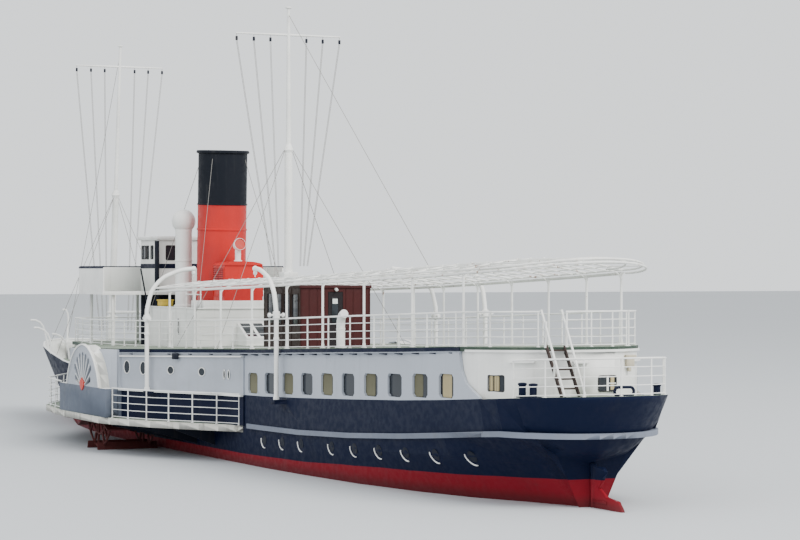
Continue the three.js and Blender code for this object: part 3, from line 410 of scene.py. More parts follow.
def start_material(name, roughness, shine=0.25):
    material = bpy.data.materials.get(name)
    if material:
        bpy.data.materials.remove(material)
    material = bpy.data.materials.new(name)
    material.use_nodes = True
    tree = material.node_tree
    shader = tree.nodes["Principled BSDF"]
    shader.inputs["Roughness"].default_value = roughness
    shader.inputs["Specular IOR Level"].default_value = shine
    place = shader_node(tree, "ShaderNodeTexCoord").outputs["Object"]
    return material, tree, shader, place


def noise(tree, place, scale, stretch=(1, 1, 1), detail=4.0, rough=0.55, shift=(0, 0, 0)):
    mapping = shader_node(tree, "ShaderNodeMapping",
                          {"Vector": place, "Scale": stretch, "Location": shift})
    return shader_node(tree, "ShaderNodeTexNoise", {
        "Vector": mapping.outputs["Vector"], "Scale": scale, "Detail": detail,
        "Roughness": rough}).outputs["Fac"]


def ramp(tree, value, low, high, start=0.0, end=1.0):
    return shader_node(tree, "ShaderNodeMapRange", {
        "Value": value, "From Min": low, "From Max": high, "To Min": start, "To Max": end},
        interpolation_type="SMOOTHSTEP").outputs["Result"]


def blend(tree, factor, first, second, mode="MIX"):
    made = shader_node(tree, "ShaderNodeMix", data_type="RGBA", blend_type=mode)
    for socket, value in ((made.inputs[0], factor), (made.inputs[6], first),
                          (made.inputs[7], second)):
        if isinstance(value, bpy.types.NodeSocket):
            tree.links.new(value, socket)
        elif isinstance(value, (int, float)):
            socket.default_value = value
        else:
            socket.default_value = (*value[:3], 1.0)
    return made.outputs[2]


def math_node(tree, operation, *values):
    made = shader_node(tree, "ShaderNodeMath", operation=operation)
    for socket, value in zip(made.inputs, values):
        if isinstance(value, bpy.types.NodeSocket):
            tree.links.new(value, socket)
        else:
            socket.default_value = value
    return made.outputs[0]


def shade(colour, factor):
    return tuple(min(1.0, c * factor) for c in colour[:3])


def weather(tree, shader, place, base, roughness, dirt=(0.16, 0.13, 0.10), dirt_amount=0.25,
            streaks=0.3, rust=0.0, waves=0.0, seed=0.0, mottled=0.16):
    """Mottled paint with soft streaks, spots of rust and slightly uneven plates."""
    mottle = noise(tree, place, 1.1, shift=(seed, 0, 0))
    colour = blend(tree, ramp(tree, mottle, 0.35, 0.7, 0.0, mottled), base, (0.02, 0.02, 0.025))
    run = noise(tree, place, 1.0, (7, 7, 0.55), 5, 0.6, (seed, 3, 0))
    colour = blend(tree, ramp(tree, run, 0.52, 0.78, 0.0, streaks), colour, dirt)
    spots = noise(tree, place, 2.6, (1, 1, 0.7), 8, 0.7, (0, seed, 5))
    colour = blend(tree, ramp(tree, spots, 0.56, 0.70, 0.0, dirt_amount), colour, dirt)
    if rust:
        patch = noise(tree, place, 5.5, (1, 1, 0.6), 9, 0.72, (2, 0, seed))
        colour = blend(tree, ramp(tree, patch, 0.66 - 0.12 * rust, 0.72 - 0.08 * rust),
                       colour, (0.23, 0.085, 0.03))
    tree.links.new(colour, shader.inputs["Base Color"])
    wear = noise(tree, place, 9.0, detail=3)
    tree.links.new(ramp(tree, wear, 0.3, 0.7, roughness - 0.08, roughness + 0.14),
                   shader.inputs["Roughness"])
    grain = noise(tree, place, 60.0, detail=3)
    bump = shader_node(tree, "ShaderNodeBump",
                       {"Strength": 0.25, "Distance": 0.0015, "Height": grain})
    if waves:
        swell = noise(tree, place, 1.6, detail=1)
        bump = shader_node(tree, "ShaderNodeBump", {
            "Strength": 0.5, "Distance": waves, "Height": swell, "Normal": bump.outputs["Normal"]})
    tree.links.new(bump.outputs["Normal"], shader.inputs["Normal"])


def paint(name, colour, roughness=0.42, shine=0.25, **wear):
    material, tree, shader, place = start_material(name, roughness, shine)
    weather(tree, shader, place, colour, roughness, **wear)
    return material


def above_line(tree, place, axes, table, wobble):
    """1 above a line whose height follows x by a table, 0 below it."""
    span = (table[0][0] * HALF, table[-1][0] * HALF)
    run = shader_node(tree, "ShaderNodeMapRange", {
        "Value": axes["X"], "From Min": span[0], "From Max": span[1]}).outputs["Result"]
    line = shader_node(tree, "ShaderNodeValToRGB", {"Fac": run})
    stops = line.color_ramp.elements
    for i, (x, z) in enumerate(table):
        at = (x * HALF - span[0]) / (span[1] - span[0])
        if i == 0:
            stop = stops[0]
        elif i == len(table) - 1:
            stop = stops[-1]
        else:
            stop = stops.new(at)
        stop.color = (z / 4, z / 4, z / 4, 1)
    height = math_node(tree, "MULTIPLY", line.outputs["Color"], 4 * HALF)
    above = math_node(tree, "SUBTRACT", axes["Z"], height)
    uneven = math_node(tree, "MULTIPLY", math_node(
        tree, "SUBTRACT", noise(tree, place, 3.0, detail=2), 0.5), wobble)
    return math_node(tree, "GREATER_THAN", math_node(tree, "ADD", above, uneven), 0.0)


def side_paint():
    """White plating darkened to grey as painted shade above the line of the hull's top, navy below
    it.
    """
    colour = colours()
    material, tree, shader, place = start_material("side_paint", 0.42, 0.12)
    axes = shader_node(tree, "ShaderNodeSeparateXYZ", {"Vector": place}).outputs
    table = tuple((x, z + 0.01) for x, z in HULL_TOP if -25 < x < 19)
    upper = above_line(tree, place, axes, table, 0.0)
    # Above the line: the plating's white paint darkened to grey as painted shade.
    base = blend(tree, upper, colour.hull, colour.side)
    weather(tree, shader, place, base, 0.5, dirt=(0.03, 0.035, 0.045), dirt_amount=0.10,
            streaks=0.10, waves=0.008, seed=8.0, mottled=0.04)
    return material


def hull_paint():
    """Navy above a curved line and red below it, with plate seams, and painted shade near the
    water.
    """
    colour = colours()
    material, tree, shader, place = start_material("hull_paint", 0.5, 0.08)
    axes = shader_node(tree, "ShaderNodeSeparateXYZ", {"Vector": place}).outputs
    navy = above_line(tree, place, axes, BOOT_LINE, 0.012)
    base = blend(tree, navy, colour.boot, colour.hull)
    # Darker near the waterline: painted shade where the hull meets the water.
    waterline_shade = ramp(tree, axes["Z"], 0.02, 0.22, 0.55, 0.0)
    base = blend(tree, waterline_shade, base, (0.035, 0.02, 0.02))
    weather(tree, shader, place, base, 0.5, dirt=(0.03, 0.03, 0.035), dirt_amount=0.14,
            streaks=0.12, waves=0.008, seed=2.0, mottled=0.05)
    flat = shader_node(tree, "ShaderNodeCombineXYZ", {"X": axes["X"], "Y": axes["Z"]})
    seams = shader_node(tree, "ShaderNodeTexBrick", {
        "Vector": flat.outputs["Vector"], "Scale": 1.0, "Mortar Size": 0.004,
        "Mortar Smooth": 0.6, "Brick Width": 2.9, "Row Height": 0.62}).outputs["Fac"]
    normal = shader.inputs["Normal"].links[0].from_socket
    welds = shader_node(tree, "ShaderNodeBump", {
        "Strength": 0.35, "Distance": 0.004, "Height": seams, "Normal": normal})
    tree.links.new(welds.outputs["Normal"], shader.inputs["Normal"])
    return material


def plank_deck(name, colour, seam, board=0.07):
    """Deck boards laid fore and aft, with dark seams and worn paint."""
    material, tree, shader, place = start_material(name, 0.7)
    boards = shader_node(tree, "ShaderNodeTexBrick", {
        "Vector": place, "Scale": 1.0, "Mortar Size": 0.0035, "Mortar Smooth": 0.2,
        "Brick Width": 2.4, "Row Height": board, "Color1": (*shade(colour, 0.86), 1),
        "Color2": (*shade(colour, 1.08), 1), "Mortar": (*seam, 1)})
    worn = ramp(tree, noise(tree, place, 0.9, detail=6), 0.45, 0.75, 0.0, 0.45)
    base = blend(tree, worn, boards.outputs["Color"], (0.20, 0.20, 0.17))
    fine = noise(tree, place, 14.0, (0.25, 3, 1), 4)
    base = blend(tree, ramp(tree, fine, 0.4, 0.8, 0.0, 0.25), base, (0.45, 0.44, 0.38))
    tree.links.new(base, shader.inputs["Base Color"])
    bump = shader_node(tree, "ShaderNodeBump", {
        "Strength": 0.5, "Distance": 0.003, "Height": boards.outputs["Fac"]}, invert=True)
    tree.links.new(bump.outputs["Normal"], shader.inputs["Normal"])
    return material


def pane(name, colour, roughness=0.06):
    """Dark glazing with faint smears."""
    material, tree, shader, place = start_material(name, roughness, 0.35)
    smear = ramp(tree, noise(tree, place, 3.2, (1, 1, 0.4), 4), 0.4, 0.75, 0.0, 0.35)
    tree.links.new(blend(tree, smear, colour, shade(colour, 2.2)), shader.inputs["Base Color"])
    film = ramp(tree, noise(tree, place, 11.0), 0.3, 0.8, roughness, roughness + 0.12)
    tree.links.new(film, shader.inputs["Roughness"])
    return material


def cloth(name, colour):
    """Folded curtain behind glass, with painted shade in the folds and towards the top."""
    material, tree, shader, place = start_material(name, 0.85)
    axes = shader_node(tree, "ShaderNodeSeparateXYZ", {"Vector": place}).outputs
    folds_with_painted_shade = shader_node(tree, "ShaderNodeTexWave", {
        "Vector": place, "Scale": 9.0, "Distortion": 1.6, "Detail": 1.0}).outputs["Fac"]
    # Darker towards the top: painted shade.
    painted_top_shade = ramp(tree, axes["Z"], 1.3, 1.75, 1.0, 0.55)
    # Dark and light bands of the folds: painted shade in the creases.
    base = blend(tree, folds_with_painted_shade, shade(colour, 0.55), shade(colour, 1.1))
    base = blend(tree, painted_top_shade, shade(colour, 0.35), base)
    tree.links.new(base, shader.inputs["Base Color"])
    bump = shader_node(tree, "ShaderNodeBump", {"Strength": 0.6, "Distance": 0.01, "Height": folds_with_painted_shade})
    tree.links.new(bump.outputs["Normal"], shader.inputs["Normal"])
    return material


def rope(name, colour):
    """Twisted rope."""
    material, tree, shader, place = start_material(name, 0.9)
    lay = shader_node(tree, "ShaderNodeTexWave", {
        "Vector": place, "Scale": 40.0, "Distortion": 0.5},
        bands_direction="DIAGONAL").outputs["Fac"]
    tree.links.new(blend(tree, lay, shade(colour, 0.6), colour), shader.inputs["Base Color"])
    bump = shader_node(tree, "ShaderNodeBump", {"Strength": 0.5, "Distance": 0.002, "Height": lay})
    tree.links.new(bump.outputs["Normal"], shader.inputs["Normal"])
    return material


FINISH = {}


def mix_finishes():
    c = colours()
    FINISH.update({
        "hull": hull_paint(),
        "side": side_paint(),
        "navy": paint("navy_paint", c.hull, 0.45, 0.1, dirt=(0.06, 0.06, 0.07), dirt_amount=0.15,
                      streaks=0.12, seed=1),
        "white": paint("white_paint", c.white, 0.4, dirt=(0.32, 0.29, 0.24), dirt_amount=0.10,
                       streaks=0.20, seed=4),
        "stern": paint("stern_white_paint", c.white, 0.4, dirt=(0.38, 0.35, 0.30), dirt_amount=0.12,
                       streaks=0.22, waves=0.008, seed=5),
        "rail": paint("rail_white_paint", c.white, 0.38, dirt=(0.25, 0.2, 0.15), dirt_amount=0.18,
                      streaks=0.15, rust=0.10, seed=6),
        "rusty": paint("rusty_white_paint", c.white, 0.5, dirt=(0.36, 0.25, 0.15), dirt_amount=0.30,
                       streaks=0.15, rust=0.55, seed=7),
        # White paint darkened to grey: painted shade on the plated sides, paddle boxes, sponson
        # houses, deck underside and ledges.
        "grey": paint("side_grey_paint", c.side, 0.42, dirt=(0.22, 0.21, 0.19), dirt_amount=0.16,
                      streaks=0.26, waves=0.012, seed=8),
        "plate": paint("paddle_plate_paint", c.plate, 0.5, 0.15, dirt=(0.12, 0.12, 0.12),
                       dirt_amount=0.3, streaks=0.3, waves=0.01, seed=9),
        "strake": paint("strake_paint", c.strake, 0.6, dirt=(0.14, 0.13, 0.10), dirt_amount=0.75,
                        streaks=0.65, rust=0.05, seed=10),
        "drum": paint("drum_white_paint", c.drum, 0.5, dirt=(0.34, 0.31, 0.24), dirt_amount=0.2,
                      streaks=0.35, seed=11),
        # The rubbing strake's white paint, darkened as painted shade.
        "strake_shade": paint("strake_white_in_painted_shade", (0.17, 0.19, 0.24), 0.5, 0.15, dirt=(0.16, 0.15, 0.14),
                      dirt_amount=0.3,
                      streaks=0.3, seed=24),
        "wheel": paint("wheel_paint", (0.07, 0.013, 0.012), 0.7, dirt=(0.03, 0.025, 0.02),
                       dirt_amount=0.5, streaks=0.4, seed=25),
        "red": paint("funnel_red_paint", c.funnel, 0.4, dirt=(0.22, 0.05, 0.04), dirt_amount=0.25,
                     streaks=0.35, waves=0.006, seed=12),
        "black": paint("funnel_black_paint", c.top, 0.5, 0.1, dirt=(0.05, 0.05, 0.05), streaks=0.3,
                       waves=0.006, seed=13),
        # Dark paint; behind the paddle-box slots it is painted shade.
        "dark": paint("dark_paint_and_shade", (0.012, 0.015, 0.024), 0.5, 0.1, dirt=(0.08, 0.07, 0.06),
                      seed=14),
        # Dark red: painted shade behind the louvres of the red casing.
        "inside": paint("louvre_shade_red", (0.20, 0.012, 0.02), 0.6, seed=15),
        "maroon": paint("maroon_paint", c.house, 0.5, 0.12, dirt=(0.05, 0.03, 0.03),
                        dirt_amount=0.3,
                        streaks=0.3, waves=0.004, seed=16),
        "door": paint("door_paint", (0.022, 0.018, 0.020), 0.45, 0.12, dirt=(0.02, 0.02, 0.02),
                      seed=23),
        "brown": paint("brown_paint", c.brown, 0.5, 0.12, dirt=(0.03, 0.025, 0.02), streaks=0.3,
                       seed=17),
        "iron": paint("iron", (0.18, 0.19, 0.20), 0.55, dirt=(0.16, 0.08, 0.04), dirt_amount=0.5,
                      rust=0.2, seed=18),
        "yellow": paint("yellow_paint", (0.62, 0.44, 0.06), 0.45, seed=19),
        "bright": paint("bright_red_paint", (0.55, 0.05, 0.035), 0.45, seed=20),
        "deck": plank_deck("deck_boards", c.deck, (0.05, 0.06, 0.05)),
        "edge": paint("deck_edge_paint", c.edge, 0.6, dirt=(0.1, 0.12, 0.08), dirt_amount=0.5,
                      streaks=0.3, seed=21),
        "glass": pane("window_glass", (0.018, 0.022, 0.028)),
        "curtain": cloth("curtain_olive", (0.20, 0.19, 0.12)),
        "cream": cloth("curtain_cream", (0.60, 0.50, 0.28)),
        "rubber": paint("window_rubber", (0.025, 0.025, 0.027), 0.7, dirt_amount=0.1, streaks=0.1),
        "rope": rope("rigging_rope", (0.30, 0.29, 0.27)),
        "beige": paint("beige_paint", (0.52, 0.47, 0.36), 0.55, rust=0.15, seed=22),
    })


# Properties


class SteamerSizes(bpy.types.PropertyGroup):
    rail_radius: FloatProperty(name="Rail", description="Radius of a top rail",
                               default=0.028 * HALF, subtype="DISTANCE", unit="LENGTH")
    bar_radius: FloatProperty(name="Bar", description="Radius of a lower rail bar",
                              default=0.015 * HALF, subtype="DISTANCE", unit="LENGTH")
    laths: IntProperty(name="Laths", description="Lengthwise laths of the awning frame",
                       default=13, min=3, max=31)
    portholes: IntProperty(name="Portholes", description="Portholes in a side of the hull",
                           default=9, min=0, max=9)
    wire_radius: FloatProperty(name="Wire", description="Radius of a stay",
                               default=0.011 * HALF, subtype="DISTANCE", unit="LENGTH")


def colour_property(name, value):
    return FloatVectorProperty(name=name, description=f"Colour of the {name.lower()}",
                               default=value, size=3, min=0, max=1, subtype="COLOR")


class SteamerColours(bpy.types.PropertyGroup):
    hull: colour_property("Hull", (0.0035, 0.0070, 0.025))
    boot: colour_property("Underwater paint", (0.20, 0.009, 0.017))
    white: colour_property("White paint", (0.84, 0.84, 0.81))
    # White paint of the plated sides, darkened to grey as painted shade.
    side: colour_property("Plated side in painted shade", (0.40, 0.43, 0.48))
    drum: colour_property("Paddle box drum", (0.78, 0.77, 0.70))
    plate: colour_property("Paddle box plate", (0.12, 0.14, 0.18))
    strake: colour_property("Strake", (0.60, 0.59, 0.53))
    funnel: colour_property("Funnel", (0.52, 0.018, 0.014))
    top: colour_property("Funnel top", (0.007, 0.009, 0.014))
    house: colour_property("Deckhouse end", (0.060, 0.016, 0.016))
    brown: colour_property("Deckhouse sides", (0.040, 0.026, 0.022))
    deck: colour_property("Deck", (0.20, 0.25, 0.19))
    edge: colour_property("Deck edge", (0.035, 0.058, 0.042))


class SteamerOperator:
    """Shared settings of the operators."""

    bl_options = {"REGISTER", "UNDO"}

    def execute(self, context):
        self.make()
        return {"FINISHED"}


# Hull, plated sides and decks


class STEAMER_OT_hull(SteamerOperator, bpy.types.Operator):
    """Hull, bulwark, strake, rudder and engine block"""

    bl_idname = "steamer.hull"
    bl_label = "Hull"

    LIGHTS = (-8.13, -9.72, -11.34, -13.72, -15.39, -16.98, -18.65, -20.27, -21.97)

    def make(self):
        f = FINISH
        shell = skin("hull", f["hull"], (
            (lambda c, n: n.z > 0.9 and c.z > 1.0, f["deck"]),
            (lambda c, n: c.z > -1.2 and abs(c.y) < 2.41 and 1.3 < c.x < 10.3 and abs(n.z) < 0.5
             and abs(c.y) > 2.39, f["dark"]),
        ))
        assemble("hull_shell", [shell], replaces=["hull"], angle=24)
        inner = (lambda c, n: n.y * math.copysign(1, c.y) < 0.15 and abs(n.z) < 0.7 and n.x < 0.5,
                 f["white"])
        bulwark = skin("bow_bulwark", f["hull"], (inner, (lambda c, n: n.z > 0.7, f["white"])))
        cap = []
        for side in (1, -1):
            cap.append([(x, side * max(along(HULL_SIDE, x) - 0.05, 0.02), hull_top(x) + 0.01)
                        for x in (15.4, 18, 21, 24, 25.5, 26.5, 27.6, 28.7, 29.2, 29.62)])
        assemble("bow_bulwark_plates", [bulwark] + painted(f["white"], tubes(cap, 0.05)),
                 replaces=["bow_bulwark"])
        stays = []
        for x in (16.5, 18.2, 19.9, 21.6, 23.3, 25.0, 26.4):
            for side in (1, -1):
                y = along(HULL_SIDE, x) - 0.10
                stays.append([(x, side * y, hull_top(x) - 0.06),
                              (x, side * (y - 0.32), fore_deck(x) + 0.02)])
        assemble("bulwark_stays", painted(f["white"], tubes(stays, 0.03)))
        bars = [
            [(22.6, 2.83, 3.26), (22.6, 2.87, 3.44), (22.6, 3.02, 4.10), (22.6, 3.11, 4.39),
             (22.6, 3.25, 4.57), (22.6, 3.48, 4.68), (22.6, 3.72, 4.69)],
            [(21.0, 3.18, 3.15), (21.0, 3.23, 3.78), (21.0, 3.35, 4.07), (21.0, 3.53, 4.25),
             (21.0, 3.79, 4.36), (21.0, 4.01, 4.37)],
            [(18.7, 2.98, 2.95), (18.7, 3.05, 3.50), (18.7, 3.19, 3.81), (18.7, 3.41, 4.02),
             (18.7, 3.62, 4.11), (18.7, 3.80, 4.13)],
            [(28.6, 0.15, 3.50), (28.6, 0.13, 4.16), (28.6, 0.09, 4.58), (28.6, 0.13, 4.88),
             (28.6, 0.21, 5.04), (28.6, 0.29, 5.08), (28.6, 0.39, 5.07)],
        ]
        step = [block(28.3, 28.9, -0.45, 0.45, 3.38, 3.50, 0.01)]
        assemble("bow_bent_bars", painted(f["white"], tubes(bars, 0.045), *step))
        # Rubbing strake in white paint darkened as painted shade.
        assemble("strake_rubber", [skin("rubbing_strake", f["strake_shade"])],
                 replaces=["rubbing_strake"])
        assemble("engine_cover", painted(f["iron"], skin("engine_block", f["iron"], flat=True)),
                 replaces=["engine_block"])
        blade = skin("rudder", f["hull"])
        straps = []
        for z in (-0.9, -0.35, 0.2):
            straps += [block(-26.3, -25.45, side * 0.062, side * 0.085, z - 0.05, z + 0.05, 0.008)
                       for side in (1, -1)]
        assemble("rudder_blade", [blade] + painted(f["hull"], *straps), body="rudder",
                 replaces=["rudder"])
        self.portholes()

    def portholes(self):
        """Round lights below the strake, each with a white arc on its lower rim as a painted
        highlight.
        """
        f = FINISH
        rims, lights = [], []
        for x in self.LIGHTS[:sizes().portholes]:
            z = along(((-22.0, 1.34), (-8.0, 1.0)), x)
            for side in (1, -1):
                def at(r, turn, out, x=x, z=z, side=side):
                    px, pz = x + r * math.cos(turn), z + r * math.sin(turn)
                    return (px, side * (hull_side_at(px, pz) + out), pz)
                # White arcs on the lower rim: painted highlight where light catches the lip of each
                # light.
                rims.append([at(0.28, math.radians(12 - 11 * k), 0.012) for k in range(11)])
                lights.append(sheet([at(0.17, math.radians(18 * k), 0.008) for k in range(20)],
                                    side, 0.03))
        rim = tubes(rims, 0.020)
        assemble("hull_portholes", painted(f["white"], rim) + painted(f["dark"], *lights))


HULL_STATIONS = (
    (-25.26, -1.25, 3.29, (0.08, 0.10, 0.15, 1.00, 2.18, 2.57)),
    (-24.40, -1.25, 3.235, (0.10, 0.22, 0.48, 1.45, 2.51, 2.77)),
    (-23.50, -1.25, 3.18, (0.12, 0.36, 0.88, 1.88, 2.66, 2.84)),
    (-21.00, -1.25, 3.03, (0.30, 1.00, 1.95, 2.66, 2.90, 2.99)),
    (-18.60, -1.25, 2.91, (0.62, 1.70, 2.60, 3.08, 3.19, 3.23)),
    (-15.20, -1.25, 2.78, (1.20, 2.50, 3.22, 3.46, 3.49, 3.50)),
    (-11.30, -1.25, 2.64, (1.90, 3.05, 3.58, 3.69, 3.70, 3.70)),
    (-8.00, -1.25, 2.54, (2.30, 3.35, 3.75, 3.80, 3.80, 3.80)),
    (-4.00, -1.25, 2.47, (2.55, 3.50, 3.78, 3.84, 3.85, 3.85)),
)
FRACTIONS = (0, 0.12, 0.30, 0.60, 0.77, 1)


def hull_side_at(x, z):
    """Half-breadth of the hull at x and height z."""
    widths = []
    for at, keel, top, sides in HULL_STATIONS:
        share = (z - keel) / (top - keel)
        widths.append((at, along(tuple(zip(FRACTIONS, sides)), share)))
    return along(tuple(widths), x)


WINDOWS = [(-6.55 - 1.60 * i, 2.61 + 0.0567 * i) for i in range(10)]
WINDOW_W = 0.93
WINDOW_H = 0.74
# Curtains behind each window: where each starts and ends, from the window's fore side.
CURTAINS = (
    ((0.01, 0.99, "olive"),), (), ((0.01, 0.92, "olive"),), (), ((0.01, 0.78, "olive"),), (),
    ((0.01, 0.68, "olive"),), (), ((0.01, 0.55, "olive"),),
    ((0.12, 0.74, "cream"), (0.88, 0.98, "cream")),
)


def window_loop(x0, x1, z0, z1, r, steps=4):
    """Rounded rectangle as (x, z) points."""
    points = []
    for cx, cz, start in ((x1 - r, z0 + r, -90), (x1 - r, z1 - r, 0),
                          (x0 + r, z1 - r, 90), (x0 + r, z0 + r, 180)):
        for k in range(steps + 1):
            a = math.radians(start + 90 * k / steps)
            points.append((cx + r * math.cos(a), cz + r * math.sin(a)))
    return points


class STEAMER_OT_sides(SteamerOperator, bpy.types.Operator):
    """Plated sides with the saloon windows, and the fore bulkhead"""

    bl_idname = "steamer.sides"
    bl_label = "Plated sides"

    def make(self):
        f = FINISH
        for side, word in SIDES:
            node = "side_plating_" + word
            lining = (lambda c, n: n.y * c.y < -0.3, f["white"])
            assemble("plated_side_" + word, [skin(node, f["side"], (lining,))],
                     replaces=[node], angle=20)
            frames, panes, curtains, creams = [], [], [], []
            for i, (fore, sill) in enumerate(WINDOWS):
                wide = along(HULL_SIDE, fore - WINDOW_W / 2)
                slope = (along(HULL_SIDE, fore) - along(HULL_SIDE, fore - WINDOW_W)) / WINDOW_W
                loop = window_loop(fore - WINDOW_W, fore, sill, sill + WINDOW_H, 0.1)

                def at(x, z, deep):
                    y = wide + (x - fore + WINDOW_W / 2) * slope - deep
                    return (x, side * y, z)
                frames.append([at(x, z, 0.078) for x, z in loop])
                panes.append(sheet([at(x, z, 0.088) for x, z in loop], side, 0.006))
                for start, end, kept in CURTAINS[i]:
                    cover = window_loop(fore - WINDOW_W * end, fore - WINDOW_W * start,
                                        sill + 0.01, sill + WINDOW_H - 0.01, 0.05, 1)
                    (creams if kept == "cream" else curtains).append(
                        sheet([at(x, z, 0.080) for x, z in cover], side, 0.006))
            rim = painted(f["rubber"], tubes(frames, 0.009, 1, closed=True))
            assemble("saloon_windows_" + word,
                     rim + painted(f["glass"], *panes) + painted(f["curtain"], *curtains)
                     + painted(f["cream"], *creams), angle=30)
        wall = skin("fore_bulkhead", f["white"], flat=True)
        door = block(15.34, 15.40, -0.4, 0.4, 2.2, 3.65, 0.02)
        assemble("fore_bulkhead_wall", [wall] + painted(f["brown"], door),
                 replaces=["fore_bulkhead"])


class STEAMER_OT_promenade(SteamerOperator, bpy.types.Operator):
    """Promenade deck, its edge plate and the brackets under it"""

    bl_idname = "steamer.promenade"
    bl_label = "Promenade deck"

    def make(self):
        f = FINISH
        deck = skin("promenade_deck", f["edge"], (
            (lambda c, n: n.z > 0.7, f["deck"]),
            # Underside: white paint darkened to grey as painted shade.
            (lambda c, n: n.z < -0.7, f["grey"]),
        ))
        assemble("promenade_boards", [deck], replaces=["promenade_deck"],
                 angle=24)
        fascia, brackets, ledges = [], [], []
        for side in (1, -1):
            line = [(x, side * (y + 0.012), deck_z(x) - 0.02) for x, y in DECK_SIDE
                    if -22.65 < x < 15.9 and not 0.5 < x < 6.5]
            aft = [p for p in line if p[0] < 1]
            fore = [p for p in line if p[0] > 6]
            fascia += [ribbon(aft, 0.11, 0.035), ribbon(fore, 0.11, 0.035)]
            ledges += [[(x, y - side * 0.03, z - 0.13) for x, y, z in run] for run in (aft, fore)]
            x = -21.8
            while x < 15.0:
                if not 0.2 < x < 6.9:
                    y = along(DECK_SIDE, x)
                    z = deck_z(x) - 0.16
                    wedge = plate([(y * side, z), ((y - 0.30) * side, z),
                                   ((y - 0.22) * side, z - 0.09),
                                   (y * side, z - 0.05)], 0.35, "X", x)
                    brackets.append(wedge)
                x += 1.02
        assemble("deck_fascia", painted(f["navy"], *fascia))
        # The ledges under the fascia are white paint darkened to grey as painted shade.
        assemble("deck_brackets", painted(f["navy"], *brackets)
                 + painted(f["grey"], tubes(ledges, 0.03, 1)))


class STEAMER_OT_stern(SteamerOperator, bpy.types.Operator):
    """White stern house with its windows, and the fittings of the quarterdeck"""

    bl_idname = "steamer.stern"
    bl_label = "Stern house"

    def make(self):
        f = FINISH
        lining = (lambda c, n: n.y * c.y < -0.3 and c.x > -25.3, f["white"])
        assemble("stern_walls", [skin("stern_house", f["stern"], (lining,))],
                 replaces=["stern_house"], angle=30)
        self.windows()
        self.ledges()
        bollards = [block(-25.80, -24.70, 1.93, 2.24, 3.275, 3.335, 0.01)]
        for x, y, tall in ((-24.92, 2.14, 0.34), (-25.50, 2.08, 0.34), (-25.50, -2.10, 0.26)):
            bollards.append(turned((x, y, 3.30), (
                (0.13, 0.0), (0.13, 0.03), (0.11, 0.05), (0.11, tall), (0.135, tall + 0.02),
                (0.135, tall + 0.07), (0.06, tall + 0.09)), 20))
        assemble("quarter_bollards", painted(f["navy"], *bollards))
        fair = tubes([[(-26.88, y, z) for y, z in window_loop(-0.51, 0.13, 3.38, 3.63, 0.12, 4)]],
                     0.045, 3, closed=True)
        assemble("fairlead", painted(f["navy"], fair))

    def windows(self):
        """Panes and rubber frames in the three openings of the stern house."""
        f = FINISH
        panes, loops, drapes = [], [], []
        for side in (1, -1):
            def skin_at(x, deep, side=side):
                return side * (ellipse_half(DECK_END, x, 0.03) - deep)
            fore, aft = -23.46, -24.00
            ring = window_loop(aft, fore, 3.41, 3.90, 0.05, 2)
            loops.append([(x, skin_at(x, 0.02), z) for x, z in ring])
            panes.append(sheet([(x, skin_at(x, 0.05), z) for x, z in ring], side, 0.01))
            for start, end in ((-23.62, -23.50), (-23.82, -23.66)):
                drape = window_loop(start, end, 3.43, 3.88, 0.02, 1)
                drapes.append(sheet([(x, skin_at(x, 0.04), z) for x, z in drape], side, 0.006))
        ring = window_loop(-0.77, -0.17, 3.44, 3.90, 0.05, 2)
        loops.append([(-25.39, y, z) for y, z in ring])
        panes.append(plate([(y, z) for y, z in ring], 0.01, "X", -25.37))
        drapes.append(block(-25.385, -25.375, -0.70, -0.58, 3.48, 3.88))
        bars = [block(-25.405, -25.37, -0.50, -0.44, 3.44, 3.90),
                block(-25.40, -25.37, -0.77, -0.47, 3.66, 3.69)]
        assemble("stern_house_windows",
                 painted(f["glass"], *panes) + painted(f["rubber"],
                                                       tubes(loops, 0.018, 1, closed=True))
                 + painted(f["white"], *bars) + painted(f["cream"], *drapes))

    def ledges(self):
        """Drip ledges and a small cabinet on the after wall."""
        f = FINISH
        side_run = [(x, ellipse_half(DECK_END, x) + 0.03, 4.37)
                    for x in (-24.20, -24.35, -24.50, -24.65, -24.80)]
        ledges = [ribbon(side_run, 0.08, 0.12),
                  block(-25.50, -25.38, 0.20, 0.73, 4.28, 4.35, 0.01)]
        ledges.append(mirrored(ledges[0]))
        centre, length, half = DECK_END
        rim = []
        for k in range(33):
            a = math.radians(15 + 150 * k / 32)
            x = centre - (length + 0.02) * math.sin(a)
            rim.append((x, (half + 0.02) * math.cos(a), deck_z(x) - 0.085))
        ledges.append(ribbon(rim, 0.07, 0.04))
        box = block(-25.13, -24.97, -1.55, -1.28, 4.14, 4.48, 0.02)
        tray = block(-25.16, -25.0, -1.60, -1.24, 4.42, 4.50, 0.01)
        foot = block(-25.10, -24.98, -1.45, -1.37, 4.0, 4.15, 0.01)
        assemble("stern_ledges", painted(f["stern"], *ledges) + painted(f["beige"], box, tray,
                                                                        foot))


# Sponsons, houses and paddle boxes


